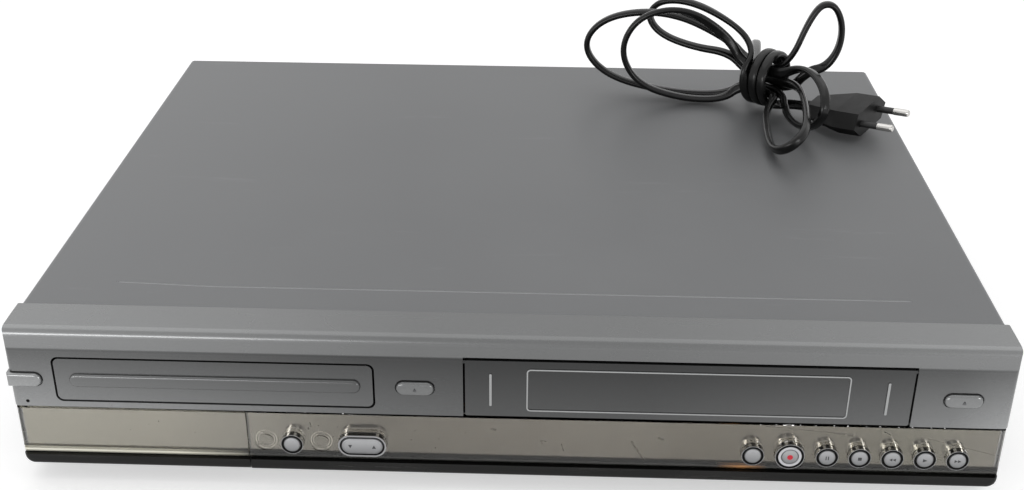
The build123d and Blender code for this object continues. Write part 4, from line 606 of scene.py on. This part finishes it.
# ---------------------------------------------------------------- lower panel and flap
# Clear acrylic windows stand in front of a mirrored champagne film, over a dark rounded strip. The
# acrylic's lower edge is an opaque band coloured as a painted highlight, cream at the left, dim in
# the middle, with an amber painted glint on the right; the acrylic is scuffed here and there. The
# film's tone along X is painted reflection, light at the left, darker and browner towards the
# right, and it has scratches and the rings of two lamps behind it, each a painted highlight beside
# shade.
acrylic = Finish(
    "clear_acrylic",
    (0.97, 0.96, 0.94),
    0.03,
    Transmission_Weight=1.0,
    IOR=1.49,
    Specular_IOR_Level=0.5,
)
scuffed = acrylic.band(acrylic.grain(9, stretch=(4, 1, 1), detail=1.0), 0.5, 0.8)
acrylic.set("Roughness", 0.015 + scuffed * 0.03)
# Painted highlight on the opaque lower edge: cream at the left, dim in the middle, an amber glint
# on the right.
painted_edge_top = 17.3
cream_highlight, dim, amber_glint = (0.88, 0.86, 0.74), (0.035, 0.035, 0.032), (0.42, 0.20, 0.07)
edge_highlight_stops = [(-214, cream_highlight), (-145, (0.80, 0.78, 0.66)), (-118, (0.30, 0.29, 0.24))]
edge_highlight_stops += [(-112, dim), (92, dim), (103, amber_glint), (114, dim), (205, (0.05, 0.05, 0.045))]
painted_edge_colours = {"Base Color": across_front(acrylic, edge_highlight_stops), "Roughness": 0.25}
painted_edge_shader = acrylic.node("ShaderNodeBsdfPrincipled", inputs=painted_edge_colours)
edge_share = (acrylic.axis("Z") < painted_edge_top) * 0.92
clear = Channel(acrylic, acrylic.shader.outputs[0])
acrylic.surface("ShaderNodeMixShader", {0: edge_share, 1: clear, 2: painted_edge_shader})
acrylic.on("lower_window", "flap_window")
soften(0.2, "lower_window", "flap_window")

film = Finish("champagne_film", (0.36, 0.33, 0.28), 0.22, Metallic=1.0)
across, up = film.axis("X"), film.axis("Z")
# Painted reflection along X: light at the left, darker and browner towards the right.
film_reflection_stops = [(-214, (0.31, 0.30, 0.255)), (-150, (0.30, 0.287, 0.245))]
film_reflection_stops += [(-113, (0.235, 0.225, 0.195)), (-60, (0.116, 0.104, 0.084))]
film_reflection_stops += [(20, (0.120, 0.104, 0.084)), (130, (0.117, 0.103, 0.078))]
film_reflection_stops += [(175, (0.148, 0.139, 0.108)), (214, (0.185, 0.173, 0.148))]
tone = across_front(film, film_reflection_stops)
hazy = film.band(film.grain(45, stretch=(2, 1, 1), detail=4.0), 0.42, 0.75)
tone = film.mix(hazy * 0.22, tone, (0.34, 0.33, 0.29))
# Each scratch runs from one place in X and Z to another, and has half its width last.
scratches = (
    ((54.5, 27.5), (60.5, 17.0), 0.45),
    ((15.0, 26.5), (16.2, 24.0), 0.45),
    ((15.0, 26.5), (17.6, 26.0), 0.3),
    ((24.0, 25.2), (25.2, 21.0), 0.3),
    ((-7.0, 32.0), (-4.4, 31.5), 0.55),
    ((66.0, 29.5), (68.5, 28.4), 0.5),
    ((112.0, 36.8), (150.0, 33.6), 0.14),
    ((141.0, 34.2), (150.0, 32.8), 0.3),
    ((163.0, 35.4), (166.0, 33.8), 0.25),
    ((182.0, 32.4), (212.0, 24.6), 0.14),
    ((-86.0, 33.0), (-85.6, 30.6), 0.3),
    ((-64.0, 14.0), (60.0, 13.0), 0.1),
)
scratched = None
for start, end, half in scratches:
    run = Vector(end) - Vector(start)
    unit = run.normalized()
    along = (across - start[0]) * unit.x + (up - start[1]) * unit.y
    beside = abs((up - start[1]) * unit.x - (across - start[0]) * unit.y)
    beyond = abs(along - run.length / 2) - run.length / 2
    mark = (beside < half) * (beyond < 0.0)
    scratched = scratched.most(mark) if scratched else mark
specks = film.band(film.grain(1.6, detail=1.0), 0.76, 0.79)
specks = specks * film.band(film.grain(40, detail=2.0), 0.5, 0.62)
worn = (scratched * film.band(film.grain(1.2, detail=4.0), 0.38, 0.5)).most(specks)
lamp_z = 23.8
for lamp_x in (-105.8, -81.4):
    ring = ((across - lamp_x) ** 2.0 + (up - lamp_z) ** 2.0) ** 0.5
    # Painted highlight and painted shade: each lamp ring is a pale line beside a dark one.
    painted_ring_highlight = (abs(ring - 4.6) < 0.17) + (abs(ring - 3.5) < 0.14)
    tone = film.mix(painted_ring_highlight * 0.8, tone, (0.55, 0.53, 0.47))
    shaded = (abs(ring - 4.25) < 0.17) + (abs(ring - 3.2) < 0.12)
    tone = film.mix(shaded * 0.5, tone, (0.08, 0.075, 0.06))
film.set("Base Color", film.mix(worn * 0.8, tone, (0.055, 0.045, 0.026)))
film.set("Metallic", 1.0 - worn * 0.6)
film.set("Roughness", 0.2 + film.grain(25) * 0.08 + worn * 0.3)
film.on("window_backing", "flap_backing")

strip = Finish("dark_strip", (0.006, 0.006, 0.0055), 0.3, Specular_IOR_Level=0.25)
scuff = strip.band(strip.grain(6, stretch=(8, 1, 1), detail=5.0), 0.55, 0.85)
strip.set("Base Color", strip.mix(scuff * 0.5, (0.006, 0.006, 0.0055), (0.04, 0.039, 0.036)))
strip.set("Roughness", 0.2 + scuff * 0.2)
strip.on("lower_trim", "flap_frame")
soften(0.2, "lower_trim", "flap_frame")

# ---------------------------------------------------------------- keys, collars and their marks
# Chromed collars with painted reflections, bright and dark streaks round their sides and a darker
# front face, and painted shade in the recess round each cap; the record key's wider one holds a
# satin ring. The keys are satin silver caps, lighter at the top and darker round the rim by painted
# light and shade, with printed transport marks, and the record key has a red dot.
cap_z, record_x, rocker_x, rocker_end = 24.3, 123.0, -62.9, 5.15
round_keys = {
    "dubbing_button": -93.7,
    "source_button": 107.0,
    "record_button": record_x,
    "pause_button": 139.0,
    "stop_button": 153.0,
    "rewind_button": 167.0,
    "play_button": 181.0,
    "fast_forward_button": 195.0,
}


def from_nearest_key(made):
    """How far a point is from the middle of the nearest key: to the side, and in all."""
    sideways = (abs(made.axis("X") - rocker_x) - rocker_end).most(0.0)
    for key_x in round_keys.values():
        sideways = sideways.least(abs(made.axis("X") - key_x))
    return sideways, (sideways**2.0 + (made.axis("Z") - cap_z) ** 2.0) ** 0.5


chrome = Finish("collar_chrome", (0.62, 0.62, 0.63), 0.07, Metallic=1.0)
sideways, radius = from_nearest_key(chrome)
# Painted reflection: bright and dark streaks by how far round the key a point lies.
streaks = [(0.0, 0.10), (0.16, 0.14), (0.22, 0.80), (0.38, 0.85)]
streaks += [(0.45, 0.10), (0.66, 0.05), (0.78, 0.55), (1.0, 0.75)]
streaks = [(share, (tone, tone, tone)) for share, tone in streaks]
painted_reflection_streaks = chrome.node("ShaderNodeValToRGB", {"stops": streaks}, {0: sideways / radius})
collar_front, recess_radius, satin_radius = -174.55, 4.68, 5.05
record_wider, record_half = 1.42, 7.5
at_record = abs(chrome.axis("X") - record_x) < record_half
front_face = chrome.axis("Y") < collar_front
satin_ring = at_record * (radius < satin_radius)
# Painted shade: the recess round each cap is made near black; the front face gets a darker painted
# reflection.
painted_recess_shade = front_face * (radius < recess_radius + at_record * record_wider) * (1.0 - satin_ring)
tone = chrome.mix(front_face, painted_reflection_streaks, (0.30, 0.30, 0.305))
tone = chrome.mix(painted_recess_shade, tone, (0.012, 0.012, 0.012))
chrome.set("Base Color", chrome.mix(satin_ring, tone, (0.60, 0.60, 0.62)))
chrome.set("Metallic", 1.0 - satin_ring * 0.85)
chrome.set("Roughness", 0.06 + satin_ring * 0.3 + chrome.grain(3) * 0.05)
chrome.on("button_rings")
soften(0.25, "button_rings")

caps = Finish("key_satin", (0.43, 0.435, 0.44), 0.34, Metallic=0.3, Coat_Weight=0.15)
finger = caps.band(caps.grain(2.5, detail=4.0), 0.5, 0.8)
# Painted light and shade: caps lighter towards the top, their rim darker, most at the bottom.
painted_top_light = caps.band(caps.axis("Z"), cap_z - 3.4, cap_z + 3.0)
cap_tone = caps.mix(painted_top_light, (0.20, 0.203, 0.207), (0.43, 0.434, 0.443))
painted_rim_shade = caps.band(from_nearest_key(caps)[1], 2.6, 3.5)
cap_tone = caps.mix(painted_rim_shade * (0.75 - painted_top_light * 0.55), cap_tone, (0.10, 0.10, 0.105))
caps.set("Base Color", caps.mix(finger * 0.3, cap_tone, (0.30, 0.30, 0.30)))
caps.set("Roughness", 0.3 + finger * 0.12)
caps.bump(caps.grain(0.3), 0.008, 0.5)
caps.on(*round_keys, "channel_rocker")
soften(0.35, *round_keys, "channel_rocker")

print_grey = Finish("mark_print", (0.035, 0.035, 0.038), 0.5)
print_grey.set("Roughness", 0.42 + print_grey.grain(0.4) * 0.2)
print_red = Finish("mark_red", (0.55, 0.01, 0.03), 0.35)
print_red.set("Roughness", 0.3 + print_red.grain(0.4) * 0.15)
print_proud, print_sunk = 0.03, 0.02
triangle = [(-0.5, -0.5), (0.5, 0.0), (-0.5, 0.5)]
square = [(-0.5, -0.5), (0.5, -0.5), (0.5, 0.5), (-0.5, 0.5)]
disc = [(math.cos(math.tau * n / 40) / 2, math.sin(math.tau * n / 40) / 2) for n in range(40)]


def printed(name, body, finish, middle, front, shapes):
    """Flat marks on a key's face: each shape has an outline, an offset, a size and a turn."""

    def build(shape):
        for outline, (dx, dz), (width, height), turn in shapes:
            spin = Matrix.Rotation(math.radians(turn), 2)
            corners = []
            for x, z in outline:
                spun = spin @ Vector((x * width, z * height))
                corners.append((middle[0] + dx + spun.x, middle[1] + dz + spun.y))
            near, far = (
                [shape.verts.new(Vector((x, y, z)) * mm) for x, z in corners]
                for y in (front - print_proud, front + print_sunk)
            )
            shape.faces.new(near)
            shape.faces.new(far[::-1])
            for index in range(len(near)):
                after = (index + 1) % len(near)
                shape.faces.new((near[index], near[after], far[after], far[index]))

    made = mesh_piece(name, build)
    finish.on(made)
    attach(made, body)


cap_front, key_front, key_z = -175.2, -173.8, 53.3
open_close_x, eject_x = -39.3, 193.6
twice = (0.75, -0.75)
marks = {
    "pause_button": [(square, (side, 0), (0.45, 1.9), 0) for side in (-0.5, 0.5)],
    "stop_button": [(square, (0, 0), (1.6, 1.6), 0)],
    "rewind_button": [(triangle, (side, 0), (1.4, 1.5), 180) for side in twice],
    "play_button": [(triangle, (0, 0), (1.9, 1.7), 0)],
    "fast_forward_button": [(triangle, (side, 0), (1.4, 1.5), 0) for side in twice],
}
for key, shapes in marks.items():
    mark_name, key_middle = key.replace("button", "mark"), (round_keys[key], cap_z)
    printed(mark_name, key, print_grey, key_middle, cap_front, shapes)
dot = [(disc, (0, 0), (2.5, 2.5), 0)]
printed("record_mark", "record_button", print_red, (record_x, cap_z), cap_front, dot)
arrows = [(triangle, (-5.2, 0), (1.7, 1.8), -90), (triangle, (5.2, 0), (1.7, 1.8), 90)]
printed("channel_marks", "channel_rocker", print_grey, (rocker_x, cap_z), cap_front, arrows)
eject = [(triangle, (0, 0.3), (1.2, 1.6), 90), (square, (0, -0.8), (1.6, 0.3), 0)]
for front_key, key_x in (("open_close", open_close_x), ("eject", eject_x)):
    mark_name, button = f"{front_key}_mark", f"{front_key}_button"
    printed(mark_name, button, print_grey, (key_x, key_z), key_front, eject)

# ---------------------------------------------------------------- rear panel, bottom tray and feet
# Galvanised sheet with a faint spangle, folded and punched; the deck's chassis and carriage, the
# laser unit's plate and the tuner's can are of the same sheet. The feet are black rubber.
zinc = Finish("galvanised_sheet", (0.46, 0.46, 0.455), 0.36, Metallic=0.9)
spangle_size = 7
spangle = zinc.node(
    "ShaderNodeTexVoronoi",
    {"feature": "F1"},
    {"Vector": zinc.place, "Scale": 1 / (spangle_size * mm)},
    output="Color",
)
spangle = zinc.node("ShaderNodeSeparateColor", inputs={0: spangle})
zinc.set("Base Color", zinc.mix(spangle, (0.40, 0.40, 0.395), (0.50, 0.50, 0.495)))
zinc.set("Roughness", 0.3 + spangle * 0.12 + zinc.grain(2) * 0.05)
outer_sheets = "rear_panel", "chassis_base"
inner_sheets = "deck_chassis", "cassette_carriage", "traverse", "tuner"
zinc.on(*outer_sheets, *inner_sheets)
soften(0.15, *outer_sheets)
soften(0.0, *inner_sheets)

rubber = Finish("foot_rubber", (0.018, 0.018, 0.018), 0.7)
rubber.set("Roughness", 0.62 + rubber.grain(4) * 0.2)
rubber.bump(rubber.grain(0.8, detail=4.0), 0.06, 0.7)
rubber.on("feet", "turntable")
soften(0.5, "feet")
soften(0.0, "turntable")

# ---------------------------------------------------------------- cover screws
# Zinc-plated pan heads with a cross recess: two in each side of the cover and three in its rear
# flange. One tree makes the head and sets it on each place.
screw_metal = Finish("screw_plating", (0.50, 0.50, 0.49), 0.28, Metallic=1.0)
screw_metal.set("Roughness", 0.22 + screw_metal.grain(0.8) * 0.2)


def triple(graph, x, y, z):
    """Three numbers of a tree as one size or place."""
    return graph.node("ShaderNodeCombineXYZ", inputs={0: x, 1: y, 2: z})


head_sides, flat_top, recess_length = 28, 0.72, 1.1
screws, (seats, radius, head, slot_width, slot_depth, metal) = geometry_tree(
    "cross_head_screws", "Head Radius", "Head Height", "Recess Width", "Recess Depth"
)
dome = screws.node(
    "GeometryNodeMeshCone",
    inputs={
        "Vertices": head_sides,
        "Radius Top": radius * flat_top,
        "Radius Bottom": radius,
        "Depth": head,
    },
)
recessed = screws.node("GeometryNodeMeshBoolean", {"operation": "DIFFERENCE"}, {0: dome})
slot_length = radius * recess_length
for width, length in ((slot_length, slot_width), (slot_width, slot_length)):
    blade_size = triple(screws, width, length, slot_depth * 2)
    blade = screws.node("GeometryNodeMeshCube", inputs={"Size": blade_size})
    at_top = {"Geometry": blade, "Translation": triple(screws, 0.0, 0.0, head)}
    raised = screws.node("GeometryNodeTransform", inputs=at_top)
    screws.tree.links.new(raised.socket, recessed.socket.node.inputs[1])
facing = screws.node("GeometryNodeInputNormal")
turn = screws.node("FunctionNodeAlignEulerToVector", {"axis": "Z"}, {"Vector": facing})
turned_seats = screws.node("GeometryNodeCaptureAttribute", {"domain": "FACE"}, {0: seats})
capture = turned_seats.socket.node
capture.capture_items.new("ROTATION", "turn")
screws.tree.links.new(turn.socket, capture.inputs[1])
spots = screws.node("GeometryNodeMeshToPoints", {"mode": "FACES"}, {0: turned_seats})
set_heads = {"Points": spots, "Instance": recessed, "Rotation": Channel(screws, capture.outputs[1])}
heads = screws.node("GeometryNodeInstanceOnPoints", inputs=set_heads)
solid = screws.node("GeometryNodeRealizeInstances", inputs={0: heads})
plated = {"Geometry": solid, "Material": metal}
close_tree(screws, screws.node("GeometryNodeSetMaterial", inputs=plated))


def grown(name, points, faces, graph, **sizes):
    """A piece that a tree grows on its seats, turned into a plain mesh."""
    seat_mesh = bpy.data.meshes.new(name)
    seat_mesh.from_pydata(points, [], faces)
    piece = put(name, seat_mesh)
    modifier = piece.modifiers.new("tree", "NODES")
    modifier.node_group = graph.tree
    tree_inputs(modifier, Metal=screw_metal.material, **sizes)
    bpy.context.view_layer.update()
    whole = piece.evaluated_get(bpy.context.evaluated_depsgraph_get())
    mesh = bpy.data.meshes.new_from_object(whole)
    piece.modifiers.clear()
    piece.data = mesh
    return piece


side_x, side_z, rear_z = 214.0, 17.0, 72.0
screw_places = []
for side in (-1, 1):
    screw_places += [((side * side_x, y, side_z), (side, 0, 0)) for y in (-90.2, 132.0)]
screw_places += [((x, back_y, rear_z), (0, 1, 0)) for x in (-195.0, 0.0, 195.0)]
seat_half, seat_points, seat_faces = 0.1, [], []
for place, out in screw_places:
    beside = Vector(out).orthogonal().normalized() * seat_half
    over = Vector(out).cross(beside)
    seat_faces.append([len(seat_points) + corner for corner in range(4)])
    seat_points += [(Vector(place) + away) * mm for away in (beside, over, -beside, -over)]
screw_heads = grown(
    "cover_screw_heads",
    seat_points,
    seat_faces,
    screws,
    Head_Radius=3.8 * mm,
    Head_Height=1.7 * mm,
    Recess_Width=0.9 * mm,
    Recess_Depth=0.9 * mm,
)
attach(screw_heads, "cabinet")
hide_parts("cover_screws")

# ---------------------------------------------------------------- sockets
# Phono sockets have nickelled barrels round coloured inserts; the large sockets are black mouldings
# with two rows of contacts, which one tree sets. The front ones sit behind the flap.
insert_radius, barrel_radius = 3.1, 4.4


def phono_finish(name, first_x, first_z, pitch, rows, colours, body):
    """Nickelled rims round coloured inserts, repeated on a grid, on a plastic body."""
    made = Finish(name, body, 0.4)
    columns = len(colours)
    from_left = made.axis("X") - (first_x - pitch / 2)
    height = made.axis("Z") - first_z
    local_x = from_left % pitch - pitch / 2
    local_z = (height + pitch / 2) % pitch - pitch / 2 if rows > 1 else height
    radius = (local_x**2.0 + local_z**2.0) ** 0.5
    stops = [(index / columns, shade) for index, shade in enumerate(colours)]
    column = from_left / (pitch * columns)
    insert = made.node("ShaderNodeValToRGB", {"stops": stops}, {0: column})
    insert.socket.node.color_ramp.interpolation = "CONSTANT"
    within = made.axis("X") < first_x + pitch * (columns - 0.5)
    rim = (radius > insert_radius) * (radius < barrel_radius) * within
    inside = (radius < insert_radius) * within
    made.set("Base Color", made.mix(rim, made.mix(inside, body, insert), (0.55, 0.55, 0.54)))
    made.set("Metallic", rim)
    made.set("Roughness", 0.42 - rim * 0.2 + made.grain(2) * 0.06)
    return made


yellow, white, red = (0.62, 0.42, 0.02), (0.62, 0.62, 0.60), (0.45, 0.015, 0.015)
black, soft_black = (0.02, 0.02, 0.02), (0.03, 0.03, 0.03)
rear_inserts, front_inserts = [red, white, yellow, red], [yellow, white, red]
phono_finish("rear_phono", -136.0, 28.6, 14.0, 2, rear_inserts, black).on("rca_sockets")
phono_finish("front_phono", -199.0, 24.0, 14.5, 1, front_inserts, soft_black).on("av_sockets")
soften(0.1, "rca_sockets", "av_sockets")

black_moulding = Finish("black_moulding", (0.022, 0.022, 0.022), 0.45)
black_moulding.set("Roughness", 0.38 + black_moulding.grain(8) * 0.16)
black_moulding.bump(black_moulding.grain(0.5, detail=3.0), 0.02, 0.6)
crisp_mouldings = "scart_sockets", "fan_frame", "disc_tray", "av_panel"
plain_mouldings = "fan_rotor", "drive_frame", "disc_clamp", "laser_sled"
plain_mouldings += "supply_reel", "takeup_reel"
black_moulding.on(*crisp_mouldings, *plain_mouldings)
soften(0.15, *crisp_mouldings)
soften(0.0, *plain_mouldings)

contacts_in_row = 10
contacts, (seats, pitch, row_gap, wide_by, tall_by, deep_by, metal) = geometry_tree(
    "contact_rows", "Contact Pitch", "Row Gap", "Contact Width", "Contact Height", "Contact Depth"
)
rows = contacts.node(
    "GeometryNodeMeshGrid",
    inputs={
        "Size X": pitch * (contacts_in_row - 1),
        "Size Y": row_gap,
        "Vertices X": contacts_in_row,
        "Vertices Y": 2,
    },
)
upright = {"Geometry": rows, "Rotation": (math.pi / 2, 0, 0)}
upright_rows = contacts.node("GeometryNodeTransform", inputs=upright)
row_sets = contacts.node(
    "GeometryNodeInstanceOnPoints", inputs={"Points": seats, "Instance": upright_rows}
)
row_points = contacts.node("GeometryNodeRealizeInstances", inputs={0: row_sets})
blade_size = triple(contacts, wide_by, deep_by, tall_by)
blade = contacts.node("GeometryNodeMeshCube", inputs={"Size": blade_size})
blades = contacts.node(
    "GeometryNodeInstanceOnPoints", inputs={"Points": row_points, "Instance": blade}
)
solid = contacts.node("GeometryNodeRealizeInstances", inputs={0: blades})
plated = {"Geometry": solid, "Material": metal}
close_tree(contacts, contacts.node("GeometryNodeSetMaterial", inputs=plated))
large_socket_x, large_socket_z = (-52.0, 8.0), 26.6
socket_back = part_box("scart_sockets")[1][1] / mm
socket_contacts = grown(
    "socket_contacts",
    [Vector((x, socket_back - 0.1, large_socket_z)) * mm for x in large_socket_x],
    [],
    contacts,
    Contact_Pitch=3.8 * mm,
    Row_Gap=5.6 * mm,
    Contact_Width=1.0 * mm,
    Contact_Height=3.2 * mm,
    Contact_Depth=0.3 * mm,
)
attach(socket_contacts, "cabinet")

# ---------------------------------------------------------------- works inside
# Turned alloy drums, ground steel guides and shafts, plated motors, an acetal pinion, and boards
# whose parts stand on green or tan laminate.
turned = Finish("turned_alloy", (0.62, 0.62, 0.63), 0.25, Metallic=1.0)
turned.set("Roughness", 0.2 + turned.grain(0.6, stretch=(20, 20, 1)) * 0.15)
turned.on("head_drum", "drum_base")
ground = Finish("ground_steel", (0.52, 0.52, 0.53), 0.22, Metallic=1.0)
ground.set("Roughness", 0.16 + ground.grain(1.0, stretch=(1, 1, 15)) * 0.16)
ground.on("capstan", "tape_guides", "loading_motors")
soften(0.12, "head_drum", "drum_base", "capstan", "tape_guides", "loading_motors")

pinion_finish = Finish("pinion_acetal", (0.60, 0.58, 0.48), 0.42, Subsurface_Weight=0.1)
pinion_finish.set("Roughness", 0.38 + pinion_finish.grain(2) * 0.12)
pinion_finish.on("tray_pinion")
soften(0.0, "tray_pinion")

board_top, tan = 16.7, (0.32, 0.19, 0.08)


def laminate(name, board, copper):
    """Printed board: lacquer over tracks, and black component bodies above the board's top."""
    made = Finish(name, board, 0.35)
    tracks = made.node(
        "ShaderNodeTexBrick",
        {"offset": 0.5},
        {
            "Vector": made.place,
            "Scale": 160.0,
            "Mortar Size": 0.03,
            "Brick Width": 0.9,
            "Row Height": 0.25,
        },
        output="Fac",
    )
    raised = made.axis("Z") > board_top
    base = made.mix(tracks * 0.8, board, copper)
    patches = made.band(made.grain(12), 0.45, 0.55)
    parts = made.mix(patches, (0.02, 0.02, 0.022), (0.05, 0.05, 0.09))
    made.set("Base Color", made.mix(raised, base, parts))
    made.set("Roughness", 0.3 + raised * 0.15 + made.grain(3) * 0.08)
    return made


laminate("green_board", (0.03, 0.13, 0.05), (0.10, 0.24, 0.09)).on("main_board")
laminate("tan_board", tan, (0.42, 0.28, 0.13)).on("power_board")
front_laminate = Finish("front_board", tan, 0.4)
front_laminate.set("Roughness", 0.34 + front_laminate.grain(3) * 0.15)
front_laminate.on("front_board")
soften(0.0, "main_board", "power_board", "front_board")

# ---------------------------------------------------------------- floor and light
# A white floor in white surroundings, which the camera sees directly and through glass or in metal.
# One broad soft lamp hangs overhead, and two low narrow ones stand in front, left and right.


def seen_white(graph):
    """1 for the camera's own rays and for those that it follows through glass or off metal."""
    rays = graph.node("ShaderNodeLightPath", output="Is Camera Ray")
    followed = rays.socket.node.outputs
    glossy = Channel(graph, followed["Is Glossy Ray"])
    through = Channel(graph, followed["Is Transmission Ray"])
    return rays.most(glossy.most(through))


floor_half, floor_glow, sky_strength = 6.0, 0.42, 0.58
corners = [(x * floor_half, y * floor_half, 0) for x, y in ((-1, -1), (1, -1), (1, 1), (-1, 1))]
floor = put("floor", bpy.data.meshes.new("floor"))
floor.data.from_pydata(corners, [], [(0, 1, 2, 3)])
paper = Finish("floor_paper", (0.80, 0.80, 0.80), 0.9, Specular_IOR_Level=0.1)
glow = paper.node(
    "ShaderNodeEmission", inputs={"Color": (1, 1, 1, 1), "Strength": seen_white(paper) * floor_glow}
)
paper.surface("ShaderNodeAddShader", {0: Channel(paper, paper.shader.outputs[0]), 1: glow})
paper.on(floor)

world = bpy.data.worlds.new("studio")
bpy.context.scene.world = world
world.use_nodes = True
sky = Graph(world.node_tree)
backdrop = world.node_tree.nodes["Background"]
backdrop.inputs["Color"].default_value = (1, 1, 1, 1)
strength = sky_strength + seen_white(sky) * (1 - sky_strength)
world.node_tree.links.new(strength.socket, backdrop.inputs["Strength"])


def soft_light(name, place, aim, size, watts):
    """A rectangular soft lamp that faces a point on the object."""
    lamp = bpy.data.lights.new(name, "AREA")
    lamp.shape = "RECTANGLE"
    lamp.size, lamp.size_y = size
    lamp.energy = watts
    stand = put(name, lamp)
    stand.location = place
    stand.rotation_euler = (Vector(aim) - Vector(place)).to_track_quat("-Z", "Y").to_euler()


soft_light("overhead", (0.0, 0.35, 1.5), (0, 0, 0), (2.6, 1.8), 9.0)
soft_light("front_left", (-1.0, -1.45, 0.48), (-0.05, -0.1, 0.05), (1.5, 0.36), 8.0)
soft_light("front_right", (1.2, -1.3, 0.45), (0.1, -0.1, 0.05), (0.7, 0.3), 3.5)

bpy.context.scene.view_settings.view_transform = "Standard"
